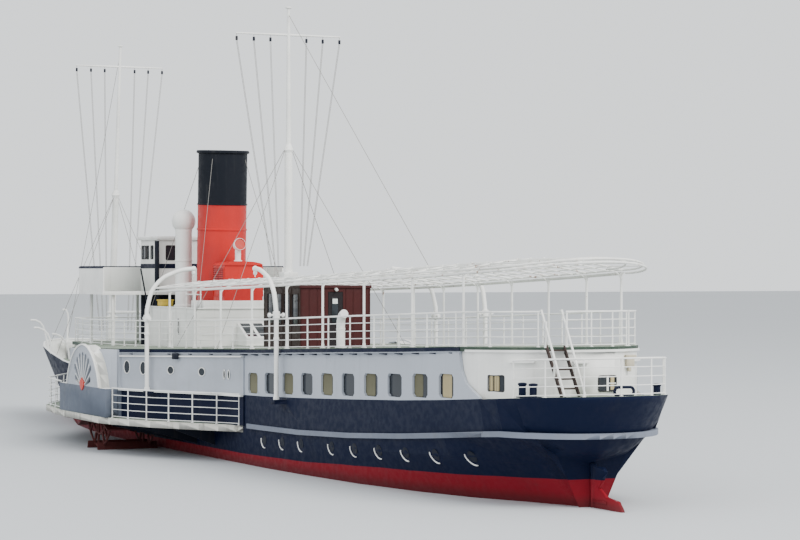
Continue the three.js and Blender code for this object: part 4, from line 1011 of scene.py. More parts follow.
class STEAMER_OT_sponsons(SteamerOperator, bpy.types.Operator):
    """Sponson decks and the houses on them, with portholes and a ledge"""

    bl_idname = "steamer.sponsons"
    bl_label = "Sponsons"

    HOUSE_AFT = ((-6.20, 3.87), (-4.98, 4.18), (-3.20, 4.98), (-1.41, 5.84), (0.36, 6.40))
    HOUSE_FORE = ((6.64, 6.40), (8.20, 5.84), (9.80, 5.22), (11.50, 4.37), (12.90, 3.86))

    def make(self):
        f = FINISH
        for side, word in SIDES:
            deck = skin("sponson_" + word, f["strake"], (
                (lambda c, n: n.z > 0.8 and c.z > 1.3, f["deck"]),
                (lambda c, n: n.z < -0.5 or c.z < 1.14, f["dark"]),
            ))
            assemble("sponson_deck_" + word, [deck],
                     replaces=["sponson_" + word])
            for place, line in (("aft", self.HOUSE_AFT), ("fore", self.HOUSE_FORE)):
                node = f"sponson_house_{place}_{word}"
                assemble(f"sponson_wall_{place}_{word}", [self.house(node)],
                         replaces=[node], angle=25)
                self.ledge(place, word, side, line)
            self.portholes(side, word)

    def house(self, node):
        """The wall, cut where its navy foot ends."""
        f = FINISH
        # The wall above the navy foot is white paint darkened to grey as painted shade.
        made = skin(node, f["grey"])
        edit(made, lambda: bpy.ops.mesh.bisect(
            plane_co=(0, 0, NAVY_TOP * HALF), plane_no=(0, 0, 1), clear_inner=False))
        give(made, ((lambda c, n: c.z < NAVY_TOP, f["navy"]),))
        return made

    def ledge(self, place, word, side, line):
        f = FINISH
        run = [(x, side * (y + 0.06), 2.52) for x, y in line]
        strip = ribbon(run, 0.07, 0.14)
        top = ribbon([(x, side * (y + 0.05), deck_z(x) - 0.26) for x, y in line], 0.04, 0.10)
        assemble(f"sponson_ledge_{place}_{word}", painted(f["white"], strip, top))

    def portholes(self, side, word):
        f = FINISH
        lights = ((-0.05, 3.35, 0.15, 0.25), (-1.05, 3.34, 0.15, 0.25), (-2.45, 3.30, 0.155, 0.155),
                  (-3.95, 3.28, 0.155, 0.155), (-5.05, 3.22, 0.07, 0.17), (-5.32, 3.22, 0.07, 0.17))
        rims, panes = [], []
        for x, z, wide, tall in lights:
            y = along(self.HOUSE_AFT, x) + 0.005
            slope = 0.47 if x > -4.9 else 0.25
            ring = []
            for a in circle(20):
                u = wide * math.cos(a)
                ring.append((x + u, side * (y + 0.02 + u * slope), z + tall * math.sin(a)))
            rims.append(ring)
            panes.append(sheet([(px, py - side * 0.008, pz) for px, py, pz in ring], side, 0.02))
        lamp = block(-2.95, -2.72, 5.20, 5.42, 3.72, 3.95, 0.03)
        if side < 0:
            lamp = swapped(lamp)
        assemble("sponson_portholes_" + word,
                 painted(f["white"], tubes(rims, 0.016, 1, closed=True))
                 + painted(f["glass"], *panes) + painted(f["dark"], lamp))


class STEAMER_OT_paddle_boxes(SteamerOperator, bpy.types.Operator):
    """Paddle boxes with their fan of slots"""

    bl_idname = "steamer.paddle_boxes"
    bl_label = "Paddle boxes"

    def make(self):
        f = FINISH
        x0, z0, radius = BOX_ARCH
        for side, word in SIDES:
            zones = (
                (lambda c, n: c.z < 2.49 and (abs(n.y) > 0.9 or abs(n.x) > 0.9), f["plate"]),
                (lambda c, n: abs(n.y) < 0.5 and abs(c.x - x0) < radius + 0.1 and c.z > 1.38
                 and math.hypot(c.x - x0, max(c.z - z0, 0)) > radius - 0.04, f["drum"]),
                (lambda c, n: c.z >= 2.42 and n.z > 0.9 and abs(c.y) > 6.5, f["white"]),
            )
            node = "paddle_box_" + word
            # Faces outside the zones, and the upper strips, are white paint darkened to grey as
            # painted shade.
            body = skin(node, f["grey"])
            edit(body, lambda: bpy.ops.mesh.bisect(
                plane_co=(0, 0, NAVY_TOP * HALF), plane_no=(0, 0, 1)))
            give(body, zones)
            strips = []
            for x, top in ((0.39, 4.00), (6.61, 3.88)):
                for low, high, finish in ((1.41, NAVY_TOP, f["plate"]), (NAVY_TOP, top, f["grey"])):
                    strip = block(x - 0.06, x + 0.06, side * 6.38, side * 6.50, low, high)
                    strips += painted(finish, strip)
            assemble("paddle_box_shell_" + word, [body] + strips,
                     replaces=[node], angle=32)
            self.fan(side, word)

    def fan(self, side, word):
        """Rim of the arch, white ribs between the slots, the red boss, and a dark plate behind the
        slots as painted shade.
        """
        f = FINISH
        x0, z0, radius = BOX_ARCH
        y = side * (BOX_FACE + 0.008)
        rim = []
        for k in range(41):
            a = math.radians(16 + 148 * k / 40)
            rim.append((x0 + (radius + 0.02) * math.cos(a), y, z0 + (radius + 0.02) * math.sin(a)))
        ribs = []
        for k in range(-4, 4):
            a = math.radians((k + 0.5) * 17)
            end = 1.30 if abs(k + 0.5) < 3.4 else 1.1
            ribs.append([(x0 + math.sin(a) * r, y, 2.40 + math.cos(a) * r) for r in (0.30, end)])
        boss = plate([(x0 + 0.30 * math.sin(math.radians(a)) * k,
                       2.44 + 0.34 * math.cos(math.radians(a)) * k)
                      for a, k in ((-70, 1), (-50, 1.12), (-25, 1.0), (0, 1.15), (25, 1.0),
                                   (50, 1.12),
                                   (70, 1), (110, 0.45), (180, 0.35), (250, 0.45))],
                     side * 0.06, "Y", side * (BOX_FACE - 0.01))
        # A dark half-disc behind the face: painted shade seen through the slots.
        painted_shade_outline = [(x0 + 1.62 * math.cos(math.radians(a)), 2.30 + 1.55 * math.sin(math.radians(a)))
                   for a in range(0, 181, 12)]
        back = plate(painted_shade_outline, side * 0.02, "Y", side * (BOX_FACE - 0.14))
        parts = painted(f["white"], tubes([rim], 0.035, 2)) + painted(f["white"],
                                                                      tubes(ribs, 0.014, 1))
        parts += painted(f["dark"], back)
        parts += painted(f["bright"], boss)
        assemble("paddle_fan_" + word, parts)


class STEAMER_OT_wheels(SteamerOperator, bpy.types.Operator):
    """Paddle wheels with rims, arms and floats on one shaft"""

    bl_idname = "steamer.wheels"
    bl_label = "Paddle wheels"

    FLOATS = 8
    RADIUS = 2.10

    def make(self):
        f = FINISH
        sx, sz = SHAFT
        parts = [cone((sx, -6.72, sz), (sx, 6.72, sz), 0.14, sides=24, soft=0.02)]
        for side in (1, -1):
            for y in (4.45, 6.30):
                hub = cone((sx, side * y - 0.12, sz), (sx, side * y + 0.12, sz), 0.32, sides=24,
                           soft=0.02)
                rings = [[(sx + r * math.cos(a), side * y,
                           sz + r * math.sin(a)) for a in circle(48)] for r in (1.57, 1.05)]
                parts += [hub, tubes(rings, 0.045, 2, closed=True)]
                arms = []
                for k in range(self.FLOATS):
                    a = (k + 0.5) / self.FLOATS * 2 * math.pi
                    for lean in (0.0, 0.30):
                        tip = 1.96 if lean == 0 else 1.57
                        arms.append([(sx + 0.26 * math.cos(a), side * y, sz - 0.26 * math.sin(a)),
                                     (sx + tip * math.cos(a + lean), side * y,
                                      sz - tip * math.sin(a + lean))])
                parts.append(tubes(arms, 0.05, 1))
            board = block(sx + self.RADIUS - 0.62, sx + self.RADIUS - 0.005, side * 4.14,
                          side * 6.60, sz - 0.028, sz + 0.028, 0.015)
            centre = Matrix.Translation(Vector((sx, 0, sz)) * HALF)
            turns = [centre @ Matrix.Rotation((k + 0.5) / self.FLOATS * 2 * math.pi, 4, "Y")
                     @ centre.inverted() for k in range(self.FLOATS)]
            parts += copies(board, turns)
        assemble("paddle_wheel_pair", painted(f["wheel"], *parts), body="paddle_wheels",
                 replaces=["paddle_wheels"])


# Upper works


class STEAMER_OT_funnel(SteamerOperator, bpy.types.Operator):
    """Funnel, red and black, with its hoops and guys"""

    bl_idname = "steamer.funnel"
    bl_label = "Funnel"

    def make(self):
        f = FINISH
        x, z = FUNNEL_FOOT
        r = 1.02
        change = 4.22
        lower = turned((x, 0, z), (
            (r + 0.03, 0), (r + 0.03, 0.10), (r, 0.12), (r, 3.16), (r + 0.03, 3.18),
            (r + 0.03, 3.23),
            (r, 3.25), (r, change)), 72)
        upper = turned((x, 0, z), (
            (r + 0.004, change), (r + 0.03, change + 0.01), (r + 0.03, change + 0.05),
            (r, change + 0.07),
            (r, 6.36), (r + 0.08, 6.39), (r + 0.085, 6.46), (r + 0.05, 6.50), (r - 0.06, 6.50),
            (r - 0.06, 4.4), (0.2, 4.35)), 72)
        painted(f["red"], lower)
        painted(f["black"], upper)
        lean = Matrix.Translation(Vector((x, 0, z)) * HALF) @ Matrix.Rotation(
            math.radians(-FUNNEL_RAKE), 4, "Y") @ Matrix.Translation(Vector((-x, 0, -z)) * HALF)
        for part in (lower, upper):
            part.data.transform(lean)
        assemble("funnel_shell", [lower, upper], replaces=["funnel"], angle=40)
        top = Vector((x, 0, z)) + Vector((-math.sin(math.radians(FUNNEL_RAKE)) * 6.1, 0, 6.1))
        guys = []
        for side in (1, -1):
            for shift, reach in ((0.72, 3.2), (-0.72, -2.6)):
                start = top + Vector((shift, side * 0.72, 0))
                guys.append([tuple(start), (x + reach, side * 1.95, 5.53)])
        wire = painted(f["rope"], tubes(guys, 0.010, 1))
        assemble("funnel_guys", wire)


class STEAMER_OT_ventilators(SteamerOperator, bpy.types.Operator):
    """Large ventilator, small cowl and the gooseneck on deck"""

    bl_idname = "steamer.ventilators"
    bl_label = "Ventilators"

    def make(self):
        f = FINISH
        pipe = turned((8.0, 1.2, 5.5), (
            (0.42, 0), (0.42, 0.06), (0.35, 0.10), (0.35, 1.9), (0.37, 1.91), (0.37, 1.97),
            (0.35, 1.98), (0.35, 3.1), (0.38, 3.45)), 40)
        head = ball((8.0, 1.2, 9.1), 0.5, 20)
        mouth = self.mouth((8.0, 1.2, 9.1), 0.5, Vector((1, 0, 0.14)), head)
        assemble("ventilator", painted(f["white"], pipe, mouth),
                 replaces=["engine_ventilator"], angle=50)
        stem = turned((4.7, 0, 7.41), ((0.17, 0), (0.17, 0.03), (0.12, 0.05), (0.12, 0.48)), 28)
        cup = turned((0, 0, 0), ((0.14, 0), (0.19, 0.08), (0.22, 0.2), (0.25, 0.42), (0.235, 0.43),
                                 (0.20, 0.2), (0.12, 0.06)), 32)
        axis = Vector((-0.43, 0, 0.10)).to_track_quat("Z", "Y").to_matrix().to_4x4()
        cup.data.transform(Matrix.Translation(Vector((4.86, 0, 8.02)) * HALF) @ axis)
        painted(f["white"], stem, cup)
        cup.data.materials.append(f["bright"])
        for face in cup.data.polygons:
            inward = Vector((4.6, 0, 8.07)) - face.center / HALF
            if face.normal.dot(inward) > 0 and face.center.x < 4.84 * HALF:
                face.material_index = 1
        facing = Vector((-0.43, 0, 0.10)).normalized()
        centre = Vector((4.86, 0, 8.02)) + facing * 0.385
        lining = cone(centre - facing * 0.01, centre, 0.237, sides=32)
        assemble("small_cowl_head", [stem, cup] + painted(f["bright"], lining),
                 replaces=["small_cowl"])
        x, y, z = -13.8, 3.25, deck_z(-13.8)
        bend = [(0, 0), (0, 0.80), (-0.01, 0.90), (-0.05, 1.0), (-0.12, 1.08), (-0.20, 1.13),
                (-0.30, 1.16)]
        vent = tubes([[(x + dx, y, z + dz) for dx, dz in bend]], 0.145, 5)
        collar = cone((x, y, z + 0.002), (x, y, z + 0.06), 0.20, sides=24, soft=0.01)
        band = cone((x, y, z + 0.62), (x, y, z + 0.66), 0.155, sides=24)
        assemble("gooseneck", painted(f["white"], vent, collar, band),
                 replaces=["deck_vent"])

    def mouth(self, centre, radius, facing, head):
        """Opens the ball towards facing and gives it a wall."""
        facing = facing.normalized()
        middle = Vector(centre) * HALF
        edit(head, lambda: bpy.ops.mesh.bisect(
            plane_co=middle + facing * radius * HALF * 0.62, plane_no=facing, clear_outer=True))
        return thicken(head, 0.03, -1)


class STEAMER_OT_casings(SteamerOperator, bpy.types.Operator):
    """White engine casing and the red casing with louvres"""

    bl_idname = "steamer.casings"
    bl_label = "Casings"

    def make(self):
        f = FINISH
        white = skin("engine_casing", f["white"], ((lambda c, n: n.z > 0.9, f["edge"]),), flat=True)
        strips = [block(3.985, 4.0, -1.95, 1.95, z - 0.012, z + 0.012) for z in (4.42, 4.78, 5.14)]
        for side in (1, -1):
            strips += [block(3.99, 10.5, side * 2.032, side * 2.045, z - 0.02,
                             z + 0.02) for z in (4.6, 5.3)]
            strips += [block(x - 0.02, x + 0.02, side * 2.032, side * 2.048, 3.95, 5.45)
                       for x in (5.3, 6.6, 8.6, 9.7)]
        lip = [block(3.95, 10.53, side * 1.93, side * 2.06, 5.46, 5.52, 0.01) for side in (1, -1)]
        lip.append(block(3.94, 4.06, -2.06, 2.06, 5.46, 5.52, 0.01))
        step = block(4.01, 5.5, -1.75, 1.75, 5.502, 5.80, 0.02)
        door = block(6.95, 7.65, 2.03, 2.06, 4.05, 5.35, 0.015)
        handle = tubes([[(7.05, 2.09, 4.75), (7.05, 2.12, 4.85)]], 0.02)
        hose = tubes([[(6.2, 2.07, 5.05), (6.15, 2.08, 4.9), (6.18, 2.08, 4.55), (6.1, 2.08, 4.4)]],
                     0.018)
        parts = [white] + painted(f["white"], *strips, *lip, step, door) + painted(f["dark"],
                                                                                   handle, hose)
        assemble("casing_walls", parts, replaces=["engine_casing"])
        self.hatch()
        red = skin("skylight_casing", f["red"], flat=True)
        slats = []
        for side in (1, -1):
            for k in range(8):
                z = 6.49 + 0.078 * k
                slats.append(block(4.14, 4.66, side * 0.83, side * 0.865, z, z + 0.035))
                slats.append(block(4.74, 5.28, side * 0.83, side * 0.865, z, z + 0.035))
        # Dark red plates behind the louvres: painted shade seen between the slats.
        louvre_shade_plates = [block(4.12, 5.30, side * 0.826, side * 0.838, 6.46, 7.10) for side in (1, -1)]
        rails = [tubes([[(4.08, side * 0.85, 5.98), (4.08, side * 0.85, 7.14),
                         (5.32, side * 0.85, 7.14),
                         (5.32, side * 0.85, 5.98)]], 0.022, 1, closed=True) for side in (1, -1)]
        parts = [red] + painted(f["red"], *slats, *rails) + painted(f["inside"], *louvre_shade_plates)
        assemble("louvred_casing", parts, replaces=["skylight_casing"])
        bars = []
        for side in (1, -1):
            y = side * 1.80
            bars += [[(4.15, y, z), (6.0, y, z)] for z in (6.05, 6.45)]
            bars += [[(x, y, 5.50), (x, y, 6.47)] for x in (4.2, 5.1, 5.95)]
        assemble("casing_rails", painted(f["rail"], tubes(bars, 0.025, 1)))

    def hatch(self):
        """Covered companion on the after wall, its sloping top open in two lights."""
        f = FINISH
        low = deck_z(3.6)
        side_plan = [(2.9, low + 0.02), (3.995, low + 0.02), (3.995, low + 0.92), (2.9, low + 0.35)]
        body = plate(side_plan, 1.15, "Y", -0.85)
        lights, slope = [], (0.57 / 1.095)
        for y in (-0.74, -0.20):
            loop = [(2.98, y), (3.93, y), (3.93, y + 0.40), (2.98, y + 0.40)]
            top = plate(loop, 0.012, "Z", 0)
            for vertex in top.data.vertices:
                x = vertex.co.x / HALF
                vertex.co.z += (low + 0.353 + (x - 2.9) * slope) * HALF
            lights.append(top)
        foot = block(2.86, 3.99, -0.88, 0.33, low + 0.001, low + 0.06, 0.01)
        assemble("companion_hatch", painted(f["white"], body, foot) + painted(f["glass"], *lights))


class STEAMER_OT_deckhouse(SteamerOperator, bpy.types.Operator):
    """Deckhouse, dark brown with a maroon after face, its windows, cornice and door"""

    bl_idname = "steamer.deckhouse"
    bl_label = "Deckhouse"

    def make(self):
        f = FINISH
        x0, x1, y1 = -5.62, -1.90, 1.40
        walls = skin("deckhouse", f["brown"], (
            (lambda c, n: n.x < -0.9 and c.x < x0 + 0.01, f["maroon"]),
            (lambda c, n: n.z > 0.9 and c.z > 6.4, f["edge"]),
        ), flat=True)
        windows, frames, beads = [], [], []
        for side in (1, -1):
            for x in (-2.60, -3.45, -4.30, -5.12):
                ring = window_loop(x - 0.30, x + 0.30, 5.02, 6.16, 0.04, 1)
                frames.append([(px, side * (y1 + 0.014), pz) for px, pz in ring])
                windows.append(block(x - 0.29, x + 0.29, side * (y1 - 0.005), side * (y1 + 0.012),
                                     5.03, 6.15, 0.01))
            for x in (x0 + 0.03, -4.71, -3.87, -3.02, x1 - 0.03):
                beads.append([(x, side * (y1 + 0.01), deck_z(x) + 0.04),
                              (x, side * (y1 + 0.01), 6.36)])
        cornice = [block(x0 - 0.03, x1 + 0.06, side * (y1 - 0.04), side * (y1 + 0.06), 6.38, 6.47,
                         0.015)
                   for side in (1, -1)]
        cornice.append(block(x1 - 0.04, x1 + 0.06, -y1, y1, 6.38, 6.47, 0.015))
        seams = [[(x0 - 0.008, y, deck_z(x0) + 0.04), (x0 - 0.008, y, 6.36)]
                 for y in (-1.36, -1.05, -0.72, -0.42, 0.42, 0.72, 1.05, 1.36)]
        edge = block(x0 - 0.05, x0 + 0.02, -y1 - 0.05, y1 + 0.05, 6.37, 6.48, 0.015)
        lamp = [cone((x0 - 0.11, 0.0, 6.34), (x0, 0.0, 6.34), 0.05, sides=14, soft=0.01),
                ball((x0 - 0.12, 0.0, 6.31), 0.06, 8)]
        assemble("deckhouse_walls",
                 [walls] + painted(f["glass"], *windows)
                 + painted(f["brown"], tubes(frames, 0.02, 1, closed=True), tubes(beads, 0.014, 1),
                           *cornice)
                 + painted(f["maroon"], tubes(seams, 0.012, 1), edge) + painted(f["white"], *lamp),
                 replaces=["deckhouse"])
        self.door(x0)

    def door(self, x0):
        """Dark door with a narrow light, a bare notice and a knob."""
        f = FINISH
        leaf = skin("deckhouse_door", f["door"], flat=True)
        light = block(x0 - 0.010, x0 + 0.01, -0.11, 0.15, 5.10, 6.02, 0.01)
        notice = block(x0 - 0.014, x0 - 0.004, -0.08, 0.12, 5.80, 5.98)
        knob = ball((x0 - 0.035, -0.24, 5.15), 0.03, 8)
        frame_line = [(x0 - 0.006, y, z) for y, z in window_loop(-0.12, 0.16, 5.09, 6.03, 0.03, 1)]
        parts = [leaf] + painted(f["glass"], light) + painted(f["white"], notice)
        parts += painted(f["iron"], knob) + painted(f["door"],
                                                    tubes([frame_line], 0.012, 1, closed=True))
        assemble("deckhouse_door_leaf", parts, body="deckhouse_door",
                 replaces=["deckhouse_door"])


class STEAMER_OT_bridge(SteamerOperator, bpy.types.Operator):
    """Bridge deck, its bulwark and the wheelhouse"""

    bl_idname = "steamer.bridge"
    bl_label = "Bridge"

    def make(self):
        f = FINISH
        deck = skin("bridge_deck", f["white"], ((lambda c, n: n.z > 0.9 and c.z > 6, f["deck"]),),
                    flat=True)
        rim = block(9.96, 10.0, -4.14, 4.14, 5.99, 6.15, 0.01)
        assemble("bridge_floor", [deck] + painted(f["white"], rim),
                 replaces=["bridge_deck"])
        wall = skin("bridge_bulwark", f["white"], flat=True)
        band = [block(10.0, 13.52, side * 4.1, side * 4.115, 7.12, 7.18) for side in (1, -1)]
        band.append(block(13.5, 13.515, -4.11, 4.11, 7.12, 7.18))
        cap = tubes([[(10.0, 4.07, 7.19), (13.47, 4.07, 7.19), (13.47, -4.07, 7.19),
                      (10.0, -4.07, 7.19)]],
                    0.035, 2)
        posts = [tubes([[(x, side * 4.03, 6.14), (x, side * 4.03, 7.16)] for x in (10.9, 11.8, 12.7)
                        for side in (1, -1)], 0.03, 1)]
        assemble("bridge_wings", [wall] + painted(f["navy"], *band, cap) + painted(f["white"],
                                                                                   *posts),
                 replaces=["bridge_bulwark"])
        self.wheelhouse()
        screen = block(10.6, 10.7, -1.9, 2.2, deck_z(10.6) + 0.002, 6.0)
        pipe = cone((10.14, 1.66, deck_z(10.1)), (10.14, 1.66, 8.3), 0.10, sides=20, soft=0.01)
        rod = tubes([[(9.93, 2.45, 7.1), (9.60, 2.20, 5.2)]], 0.035, 2)
        assemble("bridge_pipe", painted(f["dark"], screen, pipe, rod))
        yellow = block(8.80, 9.30, 1.38, 1.92, 5.524, 5.76, 0.03)
        lid = block(8.77, 9.33, 1.35, 1.95, 5.74, 5.80, 0.015)
        assemble("yellow_locker", painted(f["yellow"], yellow, lid))

    def wheelhouse(self):
        f = FINISH
        x0, x1, y1 = 10.3, 12.8, 1.5
        house = skin("wheelhouse", f["white"], flat=True)
        band = [block(x0 - 0.012, x1 + 0.012, side * y1, side * (y1 + 0.014), 7.12,
                      7.32) for side in (1, -1)]
        band += [block(x0 - 0.014, x0, -y1 - 0.012, y1 + 0.012, 7.12, 7.32),
                 block(x1, x1 + 0.014, -y1 - 0.012, y1 + 0.012, 7.12, 7.32)]
        loops, panes = [], []
        for a, b in ((11.09, 11.43), (11.70, 12.04), (12.11, 12.67)):
            for side in (1, -1):
                ring = window_loop(a, b, 7.53, 8.10, 0.04, 2)
                loops.append([(px, side * 1.505, pz) for px, pz in ring])
                panes.append(block(a, b, side * 1.46, side * 1.47, 7.53, 8.10))
        back, front = ((-1.2, -0.77), (0.77, 1.2)), ((-1.2, -0.5), (-0.35, 0.35), (0.5, 1.2))
        for x, spans, out in ((x0, back, -0.005), (x1, front, 0.005)):
            for a, b in spans:
                loops.append([(x + out, py, pz) for py, pz in window_loop(a, b, 7.48, 8.10, 0.05,
                                                                          2)])
                inset = x - out * 7
                panes.append(block(inset - 0.005, inset + 0.005, a, b, 7.48, 8.10))
        roof = block(x0 - 0.13, x1 + 0.13, -y1 - 0.13, y1 + 0.13, 8.38, 8.51, 0.03)
        gutter = tubes([[(x0 - 0.1, -y1 - 0.1, 8.37), (x1 + 0.1, -y1 - 0.1, 8.37),
                         (x1 + 0.1, y1 + 0.1, 8.37),
                         (x0 - 0.1, y1 + 0.1, 8.37)]], 0.025, 1, closed=True)
        wheel = tubes([[(12.1, 0.34 * math.cos(a), 7.25 + 0.34 * math.sin(a)) for a in circle(24)]],
                      0.03, 2, closed=True)
        stand = cone((12.15, 0, 6.15), (12.15, 0, 7.25), 0.12, 0.09, 16)
        parts = [house] + painted(f["navy"], *band) + painted(f["rubber"],
                                                              tubes(loops, 0.02, 1, closed=True))
        parts += painted(f["glass"], *panes) + painted(f["white"], roof, gutter)
        parts += painted(f["brown"], wheel) + painted(f["iron"], stand)
        assemble("wheelhouse_walls", parts, replaces=["wheelhouse"])


# Masts, rigging and awning


def main_at(z):
    return Vector((MAIN_MAST, 0, z))


def fore_at(z):
    return Vector((FORE_MAST - (z - 2.3) * FORE_RAKE, 0, z))


class STEAMER_OT_masts(SteamerOperator, bpy.types.Operator):
    """Main and fore mast with yards, halyards, blocks and stays"""

    bl_idname = "steamer.masts"
    bl_label = "Masts"

    HALYARDS = (1.0, 0.67, 0.35)

    def make(self):
        f = FINISH
        top = 17.23
        foot = deck_z(MAIN_MAST)
        main = [
            cone(main_at(foot), main_at(11.8), 0.17, 0.15, 28),
            cone(main_at(11.7), main_at(top), 0.10, 0.06, 24),
            cone(main_at(11.62), main_at(11.72), 0.15, 0.19, 28),
            cone(main_at(11.72), main_at(11.95), 0.19, 0.11, 28),
            block(MAIN_MAST - 0.29, MAIN_MAST + 0.29, -0.29, 0.29, 6.68, 6.97, 0.02),
            cone(main_at(top), main_at(top + 0.06), 0.13, sides=20, soft=0.02),
            cone(main_at(foot), main_at(foot + 0.12), 0.28, 0.18, 28),
            *self.yard(main_at(MAIN_YARD), 2.18),
        ]
        assemble("main_mast_pole", painted(f["white"], *main),
                 replaces=["main_mast"])
        low, high = fore_at(fore_deck(21.98) + 0.02), fore_at(17.54)
        yard = fore_at(FORE_YARD)
        fore = [
            cone(low, fore_at(10.7), 0.17, 0.15, 28),
            cone(fore_at(10.55), high, 0.10, 0.06, 24),
            cone(fore_at(10.45), fore_at(10.6), 0.15, 0.2, 28),
            cone(fore_at(10.6), fore_at(10.82), 0.2, 0.11, 28),
            cone(high, fore_at(17.6), 0.13, sides=20, soft=0.02),
            *self.yard(yard, 2.12),
            cone(low, low + Vector((-0.01, 0, 0.12)), 0.28, 0.18, 28),
            cone(fore_at(4.74), fore_at(4.86), 0.27, sides=28, soft=0.015),
        ]
        assemble("fore_mast_pole", painted(f["white"], *fore),
                 replaces=["fore_mast"])
        self.rigging(yard)

    def yard(self, middle, reach):
        """A yard that tapers from its middle to both ends."""
        out = Vector((0, reach, 0))
        return [cone(middle - out, middle, 0.03, 0.05, 16),
                cone(middle, middle + out, 0.05, 0.03, 16)]

    def rigging(self, fore_yard):
        f = FINISH
        blocks, lines, stays = [], [], []
        for place, reach, height, foot_x, foot_y, foot_z in (
                (main_at(MAIN_YARD), 2.15, MAIN_YARD, MAIN_MAST - 0.1, 0.75, 7.2),
                (fore_yard, 2.09, FORE_YARD, 20.9, 0.85, 4.2)):
            for share in self.HALYARDS:
                for side in (1, -1):
                    y = side * reach * share
                    blocks.append(block(place.x - 0.03, place.x + 0.03, y - 0.045, y + 0.045,
                                        height - 0.28, height - 0.12, 0.012))
                    lines.append([(place.x, y, height - 0.03), (place.x, y, height - 0.14)])
                    for shift in (-0.02, 0.02):
                        end = (foot_x, side * foot_y * (0.4 + 0.6 * share) + shift, foot_z)
                        lines.append([(place.x, y + shift, height - 0.27), end])
        main_top = (MAIN_MAST, 0, 17.0)
        fore_top = tuple(fore_at(17.2))
        stays += [
            [main_top, (-13.9, 0.0, deck_z(-13.9) + AWNING_HEIGHT + AWNING_CAMBER)],
            [fore_top, (29.0, 0, 3.62)],
        ]
        for side in (1, -1):
            stays += [
                [(MAIN_MAST, side * 0.1, 11.85), (-3.4, side * 3.85, deck_z(-3.4) + 0.05)],
                [(MAIN_MAST, side * 0.1, 11.85), (1.2, side * 3.85, deck_z(1.2) + 0.05)],
                [tuple(fore_at(10.75)), (20.2, side * 3.15, hull_top(20.2))],
                [tuple(fore_at(10.75)), (23.0, side * 2.75, hull_top(23.0))],
            ]
        wire = sizes().wire_radius / HALF
        parts = painted(f["rope"], tubes(lines, 0.009, 1), tubes(stays, wire, 1))
        parts += painted(f["dark"], *blocks)
        assemble("halyards_and_stays", parts)
        root = fore_at(5.05)
        spar = cone((root.x - 0.26, 0, 5.05), (17.4, 0, 5.12), 0.075, 0.055, 24)
        fork = cone((root.x - 0.25, 0, 5.05), (root.x - 0.55, 0, 5.055), 0.11, 0.08, 24)
        yoke = tubes([[(root.x + 0.245 * math.cos(a), 0.245 * math.sin(a), 5.05)
                       for a in [math.radians(80 + 10 * k) for k in range(21)]]], 0.03, 2)
        tip = cone((17.55, 0, 5.118), (17.40, 0, 5.122), 0.085, sides=24, soft=0.015)
        lug = block(17.7, 17.82, -0.03, 0.03, 5.16, 5.27, 0.01)
        assemble("boom_spar", painted(f["white"], spar, fork, yoke, tip, lug), body="cargo_boom",
                 replaces=["cargo_boom"])


